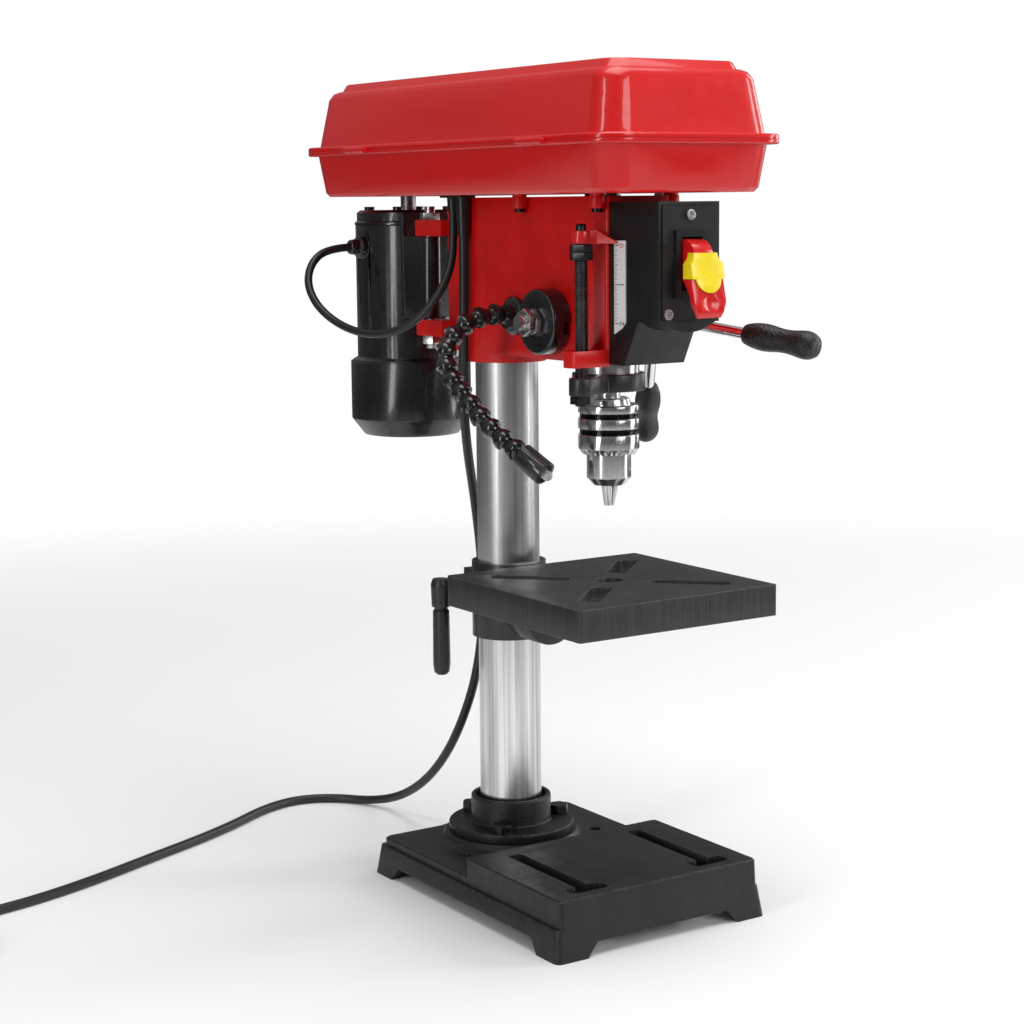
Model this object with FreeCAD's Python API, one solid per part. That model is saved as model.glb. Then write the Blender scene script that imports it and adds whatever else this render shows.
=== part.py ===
import FreeCAD, Part
import math
import os

# Bench drill press, 8-inch class: cast base, ground column, tilting table,
# cast head with rack-and-pinion quill, belt drive under a hinged cover,
# pivoting motor, three-handle feed, keyed chuck and a jointed work lamp.
# Frame: X to the operator's right, Y to the rear, Z up, millimetres.
# Origin: midway between the two bench-bolt holes, on the bench top.

X = FreeCAD.Vector(1, 0, 0)
Y = FreeCAD.Vector(0, 1, 0)
Z = FreeCAD.Vector(0, 0, 1)

# ---------------------------------------------------------------- clearances
RUNNING = 0.05          # radial, shaft in hole
GAP = 0.3               # curved faces on different moving bodies
SEAT = 0.1              # loose fit of fixed pieces

# ------------------------------------------------------------ driving sizes
COLUMN_R = 23.0
COLUMN_WALL = 3.0
COLUMN_Y = 27.0         # column axis behind the bench holes
COLUMN_FOOT = 33.0      # height where the tube stands
COLUMN_TOP = 496.0
THROAT = 128.0          # column axis to spindle axis
SPINDLE_Y = COLUMN_Y - THROAT
STROKE = 50.8           # quill travel

BASE_WIDTH = 178.0
BASE_FRONT = -165.0
BASE_REAR = 81.0
BASE_DRAFT = 3.0
BASE_LEDGE = 2.5
BASE_WALL = 7.0
PLATE_TOP = 28.0
PLATE_EDGE = 6.0
PAD_WIDTH = 167.0
PAD_REAR = -42.0
PAD_TOP = 41.6
FOOT_LENGTH = 25.0
ARCH_HEIGHT = 10.0
ARCH_SLOPE = 9.0
BENCH_SPACING = 116.0
BENCH_HOLE_R = 4.5
BENCH_BOSS_R = 11.0
PAD_SLOT_X = 52.0
PAD_SLOT_WIDTH = 11.0
PAD_SLOT_REAR = -56.0
PAD_SLOT_FRONT = -150.0
PAD_SLOT_HEAD = 30.0

FLANGE_R = 47.0
FLANGE_THICK = 7.0
SOCKET_R = 30.0
SOCKET_TOP = 60.0
SOCKET_MOUTH_R = 26.5
SOCKET_MOUTH_DEPTH = 12.0
FLANGE_BOLT_RING = 38.5
FLANGE_BOLT_R = 4.0
FLANGE_BOLT_ANGLES = (-132.0, -12.0, 108.0)
HEX_M8 = 13.0
HEX_M8_HEIGHT = 5.3

TABLE_SIZE = 164.0
TABLE_TOP = 241.0
TABLE_THICK = 21.4
TABLE_SKIN = 9.0
TABLE_RIM = 9.0
TABLE_HOLE_R = 9.7
TABLE_SLOT_WIDTH = 15.0
TABLE_SLOT_NEAR = 28.0
TABLE_SLOT_CORNER = 5.0
TABLE_SLOT_FAR = 84.0
TILT_Z = 205.0
TILT_DISC_R = 22.0
TILT_ARM_R = 19.0
TILT_DISC_THICK = 14.5
TILT_BOLT_R = 5.0
COLLAR_R = 27.5
COLLAR_LOW = 182.0
COLLAR_HIGH = 238.0
CLAMP_BOLT_BACK = 37.0  # clamp bolt behind the column axis
CLAMP_BOLT_Z = 213.0
CLAMP_BOLT_R = 4.0
EAR_THICK = 10.0
EAR_SPLIT = 3.0
CLAMP_LEVER_X = -37.0
CLAMP_LEVER_LENGTH = 64.0

HEAD_HALF = 26.0
HEAD_LOW = 393.0
HEAD_TOP = 504.0
HEAD_FRONT = SPINDLE_Y - 35.0
HEAD_REAR = COLUMN_Y + 40.0
HEAD_BOSS_R = 29.0
HEAD_BOSS_LOW = 386.0
HEAD_WALL = 6.0

QUILL_R = 21.0
QUILL_LOW = 373.0
QUILL_HIGH = 480.0
QUILL_CHAMBER_TOP = 482.0
LOWER_BEARING_R = 16.0
UPPER_BEARING_R = 14.0
QUILL_BEARING_HEIGHT = 10.0
SPINDLE_R = 7.5
SPINDLE_NECK_R = 8.0
SPLINE_R = 6.0
SPLINE_ROOT_R = 5.0
SPLINE_COUNT = 6
SPINDLE_TOP = 560.0

RACK_MODULE = 1.25
PINION_TEETH = 14
TOOTH_ADDENDUM = 0.8 * RACK_MODULE
TOOTH_DEDENDUM = 1.15 * RACK_MODULE
TOOTH_BACKLASH = 0.12
PRESSURE = math.radians(20.0)
PINION_PITCH_R = RACK_MODULE * PINION_TEETH / 2.0
RACK_LINE = QUILL_R - TOOTH_ADDENDUM
PINION_Y = SPINDLE_Y + RACK_LINE + PINION_PITCH_R
PINION_Z = 419.5
PINION_HALF = 12.0
PINION_LAND_R = 10.6

SPRING_CASE_R = 22.5
SPRING_CASE_DEPTH = 14.5
SPRING_CASE_WALL = 2.0
STUD_R = 5.0
HEX_M10 = 17.0
HEX_M10_HEIGHT = 5.0

HUB_R = 15.5
HUB_CENTRE_X = 64.0
HANDLE_TILT = math.radians(21.8)
HANDLE_FIRST = math.radians(-8.5)
HANDLE_COUNT = 3
ROD_R = 4.0
GRIP_START = 74.2
GRIP_END = 125.0
GRIP_R = 9.5

DEPTH_ROD_X = -42.0
DEPTH_ROD_Y = SPINDLE_Y - 28.0
DEPTH_ROD_R = 4.5
DEPTH_ROD_LOW = 366.0
DEPTH_ROD_THREAD = 473.0
DEPTH_ROD_TOP = 486.0
LUG_R = 12.0
LUG_HEIGHT = 11.0
LUG_LOW = 392.0
DEPTH_NUT_FLATS = 14.0
DEPTH_NUT_HEIGHT = 5.2
POINTER_HEIGHT = 8.5
ARM_LOW = 373.0
ARM_HEIGHT = 12.0
ARM_WALL = 4.0

HOUSING_FRONT = HEAD_FRONT - 54.2
HOUSING_HALF = HEAD_HALF - 1.5
HOUSING_WALL = 2.5
HOUSING_TOP = 500.0
HOUSING_CHIN = 422.6
HOUSING_NOSE_Y = HEAD_FRONT - 32.0
HOUSING_NOSE_LOW_Y = HEAD_FRONT - 17.0
HOUSING_NOSE_LOW = 393.5
BELLY_DEPTH = 6.5
SWITCH_PLATE_THICK = 2.0
SWITCH_Z = 460.0
BEZEL_WIDTH = 25.0
BEZEL_HEIGHT = 43.4
BEZEL_THICK = 2.5
PADDLE_NECK_HALF = 7.4
PADDLE_HALF = 12.7
PADDLE_SHOULDER = 9.3
KEY_THICK = 1.9
KEY_GAP = 0.3
KEY_SHANK_HALF = 6.0
KEY_SHANK_END = 6.5
SCALE_WIDTH = 12.4
SCALE_TOP = 475.0
SCALE_LENGTH = 61.0
SCALE_THICK = 0.8

TRAY_LOW = 505.7
TRAY_RIM = 536.5
RIM_THICK = 3.0
RIM_SEAM = TRAY_RIM + RIM_THICK
LID_RIM_TOP = 543.0
LID_SHOULDER = 584.5
LID_TOP = 590.0
COVER_WALL = 2.2
COVER_RIM_HALF = 76.5
COVER_RIM_FRONT = SPINDLE_Y - 101.8
COVER_RIM_REAR = 203.0
COVER_RADIUS = 24.0
TRAY_LOW_INSET = 10.8
TRAY_HIGH_INSET = 6.5
LID_LOW_INSET = 7.5
LID_SHOULDER_INSET = 15.5
PLATEAU_INSET = 25.0
HINGE_X = -COVER_RIM_HALF - 2.3
HINGE_R = 2.4
HINGE_PIN_R = 1.2
HINGE_LENGTH = 30.0
HINGE_PLACES = (108.0, -124.0)

PULLEY_STEP = 10.6
PULLEY_LOW = 510.0
SPINDLE_STEPS = (15.0, 17.5, 20.0, 22.5, 25.0)
MOTOR_STEPS = (23.0, 20.5, 18.0, 15.5, 13.0)
GROOVE_DEPTH = 5.0
BELT_STEP = 2
BELT_HEIGHT = 7.0
SLEEVE_R = 8.5
SLEEVE_BEARING_R = 17.5
SLEEVE_BEARING_LOW = 490.0

MOTOR_Y = 166.0
MOTOR_R = 41.5
MOTOR_LOW = 372.0
MOTOR_CAP_LOW = 484.0
MOTOR_TOP = 495.4
MOTOR_WALL = 2.5
FAN_COVER_R = 47.0
FAN_COVER_LOW = 321.0
FAN_COVER_CHAMFER = 13.0
FAN_COVER_TOP = 379.0
SHAFT_R = 6.0
MOTOR_BEARING_R = 16.0
GLAND_Z = 467.5
GLAND_LENGTH = 13.0
PIVOT_X = -28.0
PIVOT_Y = COLUMN_Y + 60.0
PIVOT_R = 4.0
MOTOR_EAR_R = 11.0
UPPER_EAR_LOW = 476.5
LOWER_EAR_LOW = 403.0
MOTOR_EAR_THICK = 11.5
MOTOR_PLATE_Y = 113.0
MOTOR_PLATE_THICK = 4.0

LAMP_Y = -26.0
LAMP_Z = 421.5
LAMP_BASE_R = 13.5
BALL_R = 5.9
CUP_R = 7.6
CUP_CLEAR = 0.12
LAMP_PITCH = 11.4
LAMP_NECK_R = 3.3
LAMP_FLARE_R = 6.3
LAMP_HEAD_R = 8.6
LAMP_HEAD_LENGTH = 22.0

CORD_R = 3.5
CABLE_R = 3.0
FLOOR_CLEAR = 0.1


# ------------------------------------------------------------------ helpers
def vec(x, y, z):
    return FreeCAD.Vector(x, y, z)


def box(x0, x1, y0, y1, z0, z1):
    return Part.makeBox(x1 - x0, y1 - y0, z1 - z0, vec(x0, y0, z0))


def rod(radius, start, axis, length):
    """Solid cylinder from a start point along an axis."""
    return Part.makeCylinder(radius, length, start, axis)


def ring(outer, inner, start, axis, length):
    return rod(outer, start, axis, length).cut(rod(inner, start, axis, length))


def fuse(shapes):
    whole = shapes[0]
    if len(shapes) > 1:
        whole = whole.multiFuse(shapes[1:])
    return whole.removeSplitter()


def cut(shape, tools):
    for tool in tools:
        shape = shape.cut(tool)
    return shape


def prism(points, direction):
    """Straight prism from a closed polygon of points."""
    wire = Part.makePolygon(points + [points[0]])
    return Part.Face(wire).extrude(direction)


def hexagon(flats, start, axis, length, turn=0.0):
    """Hexagonal prism, nut or bolt head, centred on a start point."""
    side = axis.cross(Z)
    if side.Length < 0.1:
        side = X
    side.normalize()
    across = axis.cross(side)
    corner = flats / math.sqrt(3.0)
    points = []
    for index in range(6):
        angle = math.radians(60.0 * index + turn)
        offset = side * (corner * math.cos(angle)) + across * (corner * math.sin(angle))
        points.append(start + offset)
    return prism(points, axis * length)


def rounded_wire(x0, x1, y0, y1, z, radius):
    """Rounded rectangle at a height, as four lines and four arcs."""
    corners = ((x1, y0, -90), (x1, y1, 0), (x0, y1, 90), (x0, y0, 180))
    arcs = []
    for cx, cy, start in corners:
        centre = vec(cx + radius if cx == x0 else cx - radius,
                     cy + radius if cy == y0 else cy - radius, z)
        points = []
        for degrees in (start, start + 45, start + 90):
            angle = math.radians(degrees)
            points.append(centre + vec(radius * math.cos(angle), radius * math.sin(angle), 0))
        arcs.append(points)
    edges = []
    for index, points in enumerate(arcs):
        edges.append(Part.Arc(*points).toShape())
        following = arcs[(index + 1) % 4]
        edges.append(Part.LineSegment(points[2], following[0]).toShape())
    return Part.Wire(edges)


def rounded_slab(x0, x1, y0, y1, z0, z1, radius):
    face = Part.Face(rounded_wire(x0, x1, y0, y1, z0, radius))
    return face.extrude(vec(0, 0, z1 - z0))


def rounded_loft(sections):
    """Ruled solid through rounded rectangles: (x0, x1, y0, y1, z, radius)."""
    wires = [rounded_wire(*section) for section in sections]
    return Part.makeLoft(wires, True, True)


def turned(profile, centre, axis=Z):
    """Turned solid from (radius, height) pairs about an axis through centre."""
    points = [vec(radius, 0, height) for radius, height in profile]
    face = Part.Face(Part.makePolygon(points + [points[0]]))
    solid = face.revolve(vec(0, 0, 0), Z, 360)
    return placed(solid, centre, axis)


def placed(shape, centre, axis):
    """Move a shape modelled along Z at the origin to centre and axis."""
    moved = shape.copy()
    moved.Placement = FreeCAD.Placement(centre, FreeCAD.Rotation(Z, axis))
    return moved


def radial(radius, degrees, centre_x, centre_y, z):
    angle = math.radians(degrees)
    return vec(centre_x + radius * math.cos(angle), centre_y + radius * math.sin(angle), z)


def save(name, shape):
    os.makedirs("parts", exist_ok=True)
    solids = shape.Solids
    if len(solids) == 1:
        shape = solids[0]
    else:
        shape = Part.makeCompound(solids)
    print(name, len(solids), round(shape.Volume, 1), shape.isValid())
    shape.exportStep("parts/" + name + ".step")


def save_all(pieces):
    for name, shape in pieces.items():
        save(name, shape)


# --------------------------------------------------------------- the stand
def base_section(inset, z, radius):
    half = BASE_WIDTH / 2.0 - inset
    return (-half, half, BASE_FRONT + inset, BASE_REAR - inset, z, radius)


def base_arches():
    """Openings between the four feet, through the skirt on each side."""
    tools = []
    half = BASE_WIDTH / 2.0
    spans = (("x", -half, half), ("y", BASE_FRONT, BASE_REAR))
    for kind, low, high in spans:
        outline = (
            (low + FOOT_LENGTH, -1.0),
            (low + FOOT_LENGTH, 0.0),
            (low + FOOT_LENGTH + ARCH_SLOPE, ARCH_HEIGHT),
            (high - FOOT_LENGTH - ARCH_SLOPE, ARCH_HEIGHT),
            (high - FOOT_LENGTH, 0.0),
            (high - FOOT_LENGTH, -1.0),
        )
        if kind == "x":
            points = [vec(along, BASE_FRONT - 5, z) for along, z in outline]
            tools.append(prism(points, vec(0, BASE_REAR - BASE_FRONT + 10, 0)))
        else:
            points = [vec(-half - 5, along, z) for along, z in outline]
            tools.append(prism(points, vec(BASE_WIDTH + 10, 0, 0)))
    return tools


def pad_slots():
    tools = []
    for side in (-1, 1):
        x = side * PAD_SLOT_X
        half = PAD_SLOT_WIDTH / 2.0
        head = PAD_SLOT_HEAD / 2.0
        tools.append(rounded_slab(x - half, x + half, PAD_SLOT_FRONT, PAD_SLOT_REAR,
                                  PLATE_TOP - 20, PAD_TOP + 1, 3.0))
        tools.append(rounded_slab(x - head, x + head, PAD_SLOT_FRONT - 2, PAD_SLOT_FRONT + 10,
                                  PLATE_TOP - 20, PAD_TOP + 1, 4.0))
    return tools


def base_casting():
    plate_low = PLATE_TOP - PLATE_EDGE
    ledge = BASE_DRAFT + BASE_LEDGE
    skirt = rounded_loft([base_section(0, 0, 5), base_section(BASE_DRAFT, plate_low, 5)])
    plate = rounded_loft([base_section(ledge, plate_low, 5), base_section(ledge, PLATE_TOP - 1, 5),
                          base_section(ledge + 1, PLATE_TOP, 5)])
    pad_half = PAD_WIDTH / 2.0
    pad_front = BASE_FRONT + BASE_DRAFT
    pad = rounded_loft([(-pad_half, pad_half, pad_front - 0.3, PAD_REAR, plate_low - 2, 3),
                        (-pad_half, pad_half, pad_front + 1.2, PAD_REAR, PAD_TOP - 1, 3),
                        (-pad_half + 1, pad_half - 1, pad_front + 2.2, PAD_REAR - 1, PAD_TOP, 3)])
    boss = turned([(0, plate_low), (58, plate_low), (58, PLATE_TOP), (52, PLATE_TOP + 1.5),
                   (49.5, COLUMN_FOOT), (0, COLUMN_FOOT)], vec(0, COLUMN_Y, 0))
    boss = boss.common(box(-80, 80, PAD_REAR, BASE_REAR - ledge - 1, 0, 60))
    body = fuse([skirt, plate, pad, boss])
    hollow = rounded_loft([base_section(BASE_WALL, -1, 3),
                           base_section(BASE_DRAFT + BASE_WALL, PLATE_TOP - 9, 3)])
    under_pad = rounded_slab(-pad_half + 8, pad_half - 8, pad_front + 9, PAD_REAR - 8,
                             PLATE_TOP - 12, PAD_TOP - 9, 4)
    body = cut(body, [hollow, under_pad])
    posts = []
    bench_bosses = []
    for side in (-1, 1):
        foot = vec(side * BENCH_SPACING / 2.0, 0, 0)
        bench_bosses.append(rod(BENCH_BOSS_R, foot, Z, PLATE_TOP - 2))
    for angle in FLANGE_BOLT_ANGLES:
        posts.append(rod(9, radial(FLANGE_BOLT_RING, angle, 0, COLUMN_Y, PLATE_TOP - 15), Z, 8))
    body = fuse([body] + posts)
    body = fuse([cut(body, base_arches())] + bench_bosses)
    tools = pad_slots()
    for side in (-1, 1):
        tools.append(rod(BENCH_HOLE_R, vec(side * BENCH_SPACING / 2.0, 0, -1), Z, PAD_TOP))
    for angle in FLANGE_BOLT_ANGLES:
        tools.append(rod(FLANGE_BOLT_R + SEAT,
                         radial(FLANGE_BOLT_RING, angle, 0, COLUMN_Y, 5), Z, 40))
    return cut(body, tools)


def column_flange():
    disc_top = COLUMN_FOOT + FLANGE_THICK
    body = turned([(0, COLUMN_FOOT), (FLANGE_R, COLUMN_FOOT), (FLANGE_R, disc_top - 1),
                   (FLANGE_R - 1, disc_top), (SOCKET_R + 1, disc_top), (SOCKET_R, disc_top + 1),
                   (SOCKET_R, SOCKET_TOP - 1), (SOCKET_R - 1, SOCKET_TOP), (0, SOCKET_TOP)],
                  vec(0, COLUMN_Y, 0))
    centre = vec(0, COLUMN_Y, COLUMN_FOOT - 1)
    mouth = vec(0, COLUMN_Y, SOCKET_TOP - SOCKET_MOUTH_DEPTH)
    tools = [rod(COLUMN_R + RUNNING, centre, Z, 60), rod(SOCKET_MOUTH_R, mouth, Z, 30)]
    for angle in FLANGE_BOLT_ANGLES:
        tools.append(rod(FLANGE_BOLT_R + SEAT,
                         radial(FLANGE_BOLT_RING, angle, 0, COLUMN_Y, COLUMN_FOOT - 1), Z, 30))
    return cut(body, tools)


def flange_bolts():
    bolts = []
    disc_top = COLUMN_FOOT + FLANGE_THICK
    for angle in FLANGE_BOLT_ANGLES:
        seat = radial(FLANGE_BOLT_RING, angle, 0, COLUMN_Y, disc_top)
        shank = rod(FLANGE_BOLT_R, seat - Z * 24, Z, 24)
        washer = rod(7.0, seat, Z, 1.2)
        head = hexagon(HEX_M8, seat + Z * 1.2, Z, HEX_M8_HEIGHT, angle)
        bolts.append(fuse([shank, washer, head]))
    return Part.makeCompound(bolts)


def column_tube():
    return ring(COLUMN_R, COLUMN_R - COLUMN_WALL, vec(0, COLUMN_Y, COLUMN_FOOT), Z,
                COLUMN_TOP - COLUMN_FOOT)


def stand():
    return {
        "base_casting": base_casting(),
        "column_flange": column_flange(),
        "flange_bolts": flange_bolts(),
        "column_tube": column_tube(),
    }


# --------------------------------------------------------------- the table
TABLE_REAR = SPINDLE_Y + TABLE_SIZE / 2.0
LUG_FACE = TABLE_REAR + 1.0
TILT_DISC_FRONT = LUG_FACE + GAP
TILT_DISC_REAR = TILT_DISC_FRONT + TILT_DISC_THICK
TILT_LUG_THICK = 12.0
TILT_THREAD = 12.0


def table_bracket():
    axis = vec(0, COLUMN_Y, COLLAR_LOW)
    height = COLLAR_HIGH - COLLAR_LOW
    collar = rod(COLLAR_R, axis, Z, height)
    ear_half = EAR_THICK + EAR_SPLIT / 2.0
    ear_rear = COLUMN_Y + CLAMP_BOLT_BACK + 8.0
    ears = box(-ear_half, ear_half, COLUMN_Y + 15, ear_rear, CLAMP_BOLT_Z - 14, CLAMP_BOLT_Z + 14)
    arm = rod(TILT_ARM_R, vec(0, COLUMN_Y - COLLAR_R / 2.0, TILT_Z), -Y,
              COLUMN_Y - COLLAR_R / 2.0 - TILT_DISC_REAR + 1)
    disc = rod(TILT_DISC_R, vec(0, TILT_DISC_REAR, TILT_Z), -Y, TILT_DISC_THICK)
    body = fuse([collar, ears, arm, disc])
    slit = box(-EAR_SPLIT / 2.0, EAR_SPLIT / 2.0, COLUMN_Y, ear_rear + 1, COLLAR_LOW - 1,
               COLLAR_HIGH + 1)
    bore = rod(COLUMN_R + SEAT, axis - Z, Z, height + 2)
    cross = rod(CLAMP_BOLT_R + RUNNING,
                vec(-ear_half - 1, COLUMN_Y + CLAMP_BOLT_BACK, CLAMP_BOLT_Z), X, 2 * ear_half + 2)
    thread = rod(TILT_BOLT_R + RUNNING, vec(0, TILT_DISC_FRONT - 1, TILT_Z), Y, TILT_THREAD + 2)
    return cut(body, [slit, bore, cross, thread])


def table_slots():
    tools = []
    length = TABLE_SLOT_FAR - TABLE_SLOT_NEAR
    half = TABLE_SLOT_WIDTH / 2.0
    for index in range(4):
        slot = rounded_slab(TABLE_SLOT_NEAR, TABLE_SLOT_NEAR + length, -half, half,
                            TABLE_TOP - TABLE_THICK - 1, TABLE_TOP + 1, TABLE_SLOT_CORNER)
        slot.rotate(vec(0, 0, 0), Z, 45.0 + 90.0 * index)
        slot.translate(vec(0, SPINDLE_Y, 0))
        tools.append(slot)
    return tools


def table():
    half = TABLE_SIZE / 2.0
    low = TABLE_TOP - TABLE_THICK
    slab = rounded_slab(-half, half, SPINDLE_Y - half, SPINDLE_Y + half, low, TABLE_TOP, 2.0)
    pocket = rounded_slab(-half + TABLE_RIM, half - TABLE_RIM, SPINDLE_Y - half + TABLE_RIM,
                          TABLE_REAR - TABLE_RIM, low - 1, TABLE_TOP - TABLE_SKIN, 4.0)
    slab = slab.cut(pocket)
    lug = rod(TILT_DISC_R, vec(0, LUG_FACE, TILT_Z), -Y, TILT_LUG_THICK)
    web = box(-TILT_DISC_R, TILT_DISC_R, LUG_FACE - TILT_LUG_THICK, LUG_FACE, TILT_Z,
              TABLE_TOP - TABLE_SKIN + 1)
    boss = rod(TABLE_HOLE_R + 8, vec(0, SPINDLE_Y, low + 2), Z, TABLE_THICK - 4)
    body = fuse([slab, lug, web, boss])
    bore = rod(TILT_BOLT_R + RUNNING, vec(0, LUG_FACE + 1, TILT_Z), -Y, TILT_LUG_THICK + 2)
    centre = rod(TABLE_HOLE_R, vec(0, SPINDLE_Y, low - 1), Z, TABLE_THICK + 2)
    return cut(body, table_slots() + [bore, centre])


def tilt_bolt():
    face = LUG_FACE - TILT_LUG_THICK
    washer = rod(9, vec(0, face - GAP, TILT_Z), -Y, 1.6)
    head = hexagon(HEX_M10, vec(0, face - GAP - 1.6, TILT_Z), -Y, 6.4)
    shank = rod(TILT_BOLT_R, vec(0, TILT_DISC_FRONT + TILT_THREAD, TILT_Z), -Y,
                TILT_DISC_FRONT + TILT_THREAD - face + GAP)
    return fuse([head, washer, shank])


def table_clamp():
    y = COLUMN_Y + CLAMP_BOLT_BACK
    ear_half = EAR_THICK + EAR_SPLIT / 2.0
    shank = rod(CLAMP_BOLT_R, vec(CLAMP_LEVER_X, y, CLAMP_BOLT_Z), X,
                ear_half - CLAMP_LEVER_X + 3)
    collar = rod(7.0, vec(CLAMP_LEVER_X + 6, y, CLAMP_BOLT_Z), X,
                 -ear_half - GAP - CLAMP_LEVER_X - 6)
    hub = turned([(0, -12), (7.0, -12), (7.5, 5), (6.0, 9), (0, 9)],
                 vec(CLAMP_LEVER_X, y, CLAMP_BOLT_Z))
    top = CLAMP_BOLT_Z - 11.0
    low = CLAMP_BOLT_Z - CLAMP_LEVER_LENGTH
    grip = turned([(0, top), (5.0, top), (5.0, top - 3), (6.2, top - 4.5), (6.6, low + 8),
                   (5.8, low + 2), (3.8, low), (0, low)], vec(CLAMP_LEVER_X, y, 0))
    return fuse([shank, collar, hub, grip])


def table_group():
    return {
        "table_bracket": table_bracket(),
        "table": table(),
        "tilt_bolt": tilt_bolt(),
        "table_clamp": table_clamp(),
    }


# ---------------------------------------------------------------- the head
def depth_lug():
    top = LUG_LOW + LUG_HEIGHT
    disc = rod(LUG_R, vec(DEPTH_ROD_X, DEPTH_ROD_Y, LUG_LOW), Z, LUG_HEIGHT)
    reach = min(LUG_R, DEPTH_ROD_Y - HEAD_FRONT)
    web = box(DEPTH_ROD_X, -HEAD_HALF + 1, DEPTH_ROD_Y - reach, DEPTH_ROD_Y + LUG_R, LUG_LOW, top)
    return fuse([disc.common(box(-90, 0, DEPTH_ROD_Y - reach, 0, LUG_LOW, top)), web])


def motor_ears():
    ears = []
    for low in (UPPER_EAR_LOW, LOWER_EAR_LOW):
        disc = rod(MOTOR_EAR_R, vec(PIVOT_X, PIVOT_Y, low), Z, MOTOR_EAR_THICK)
        arm = box(PIVOT_X - MOTOR_EAR_R + 1.0, PIVOT_X + MOTOR_EAR_R - 1.0, HEAD_REAR - 12, PIVOT_Y, low,
                  low + MOTOR_EAR_THICK)
        ears.append(fuse([disc, arm]))
    return ears


def tray_ear_places():
    return [(side * (HEAD_HALF + 4.5), y) for side in (-1, 1)
            for y in (SPINDLE_Y + 62.5, HEAD_FRONT + 5.0)]


def head_casting():
    """Head body, with the tray's four lugs and the depth lug as blocks on its sides."""
    main = rounded_slab(-HEAD_HALF, HEAD_HALF, HEAD_FRONT, HEAD_REAR, HEAD_LOW, HEAD_TOP, 3.0)
    boss = rod(HEAD_BOSS_R, vec(0, COLUMN_Y, HEAD_BOSS_LOW), Z, HEAD_TOP - HEAD_BOSS_LOW)
    ears = [rod(5.5, vec(x, y, HEAD_TOP - 8), Z, 8) for x, y in tray_ear_places()]
    body = fuse([main, boss] + motor_ears())
    column = rod(COLUMN_R + RUNNING, vec(0, COLUMN_Y, HEAD_BOSS_LOW - 1), Z,
                 COLUMN_TOP - HEAD_BOSS_LOW + 1.5)
    quill = rod(QUILL_R + RUNNING, vec(0, SPINDLE_Y, HEAD_LOW - 1), Z,
                QUILL_CHAMBER_TOP - HEAD_LOW + 1)
    sleeve = rod(SLEEVE_R + 4.5, vec(0, SPINDLE_Y, QUILL_CHAMBER_TOP - 1), Z, 30)
    seat = rod(SLEEVE_BEARING_R + SEAT / 2, vec(0, SPINDLE_Y, SLEEVE_BEARING_LOW), Z, 30)
    pinion = rod(PINION_LAND_R + RUNNING, vec(-HEAD_HALF - 5, PINION_Y, PINION_Z), X,
                 2 * HEAD_HALF + 10)
    hollow = rounded_slab(-HEAD_HALF + HEAD_WALL, HEAD_HALF - HEAD_WALL,
                          PINION_Y + PINION_LAND_R + 4, COLUMN_Y - HEAD_BOSS_R - 1,
                          HEAD_LOW - 1, HEAD_TOP - 8, 3.0)
    rod_hole = rod(DEPTH_ROD_R + 0.4, vec(DEPTH_ROD_X, DEPTH_ROD_Y, LUG_LOW - 1), Z, 20)
    tools = [column, quill, sleeve, seat, pinion, hollow, rod_hole]
    for low in (UPPER_EAR_LOW, LOWER_EAR_LOW):
        tools.append(rod(PIVOT_R + RUNNING, vec(PIVOT_X, PIVOT_Y, low - 1), Z, 20))
    for z in (HEAD_BOSS_LOW + 22, HEAD_TOP - 40):
        tools.append(rod(4.0 + RUNNING, vec(COLUMN_R - 1, COLUMN_Y, z), X, 12))
    tools.append(box(-HEAD_HALF - 10, HEAD_HALF + 10, HEAD_FRONT - 20, HEAD_FRONT, 300, 600))
    inside = [main, boss, rod_hole]
    for x, y in tray_ear_places():
        inside.append(rod(2.0 + SEAT, vec(x, y, HEAD_TOP - 9), Z, 12))
    lugs = [cut(lug, inside) for lug in [depth_lug()] + ears]
    return Part.makeCompound([cut(body, tools)] + lugs)


def head_set_screws():
    """Two cup-point socket screws that lock the head on the column."""
    screws = []
    for z in (HEAD_BOSS_LOW + 22, HEAD_TOP - 40):
        screw = rod(4.0, vec(COLUMN_R + RUNNING, COLUMN_Y, z), X, 8.5)
        socket = hexagon(4.0, vec(COLUMN_R + 5, COLUMN_Y, z), X, 5)
        screws.append(screw.cut(socket))
    return screws


def housing_outline(inset):
    """Side outline of the front housing, moved in by a wall."""
    return [
        (HEAD_FRONT - 0.2, HOUSING_TOP - inset),
        (HOUSING_FRONT + inset, HOUSING_TOP - inset),
        (HOUSING_FRONT + inset, HOUSING_CHIN + inset),
        (HOUSING_NOSE_Y + inset * 0.6, HOUSING_CHIN + inset),
        (HOUSING_NOSE_LOW_Y + inset * 0.8, HOUSING_NOSE_LOW + inset),
        (HEAD_FRONT - 0.2, HOUSING_NOSE_LOW + inset),
    ]


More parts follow.
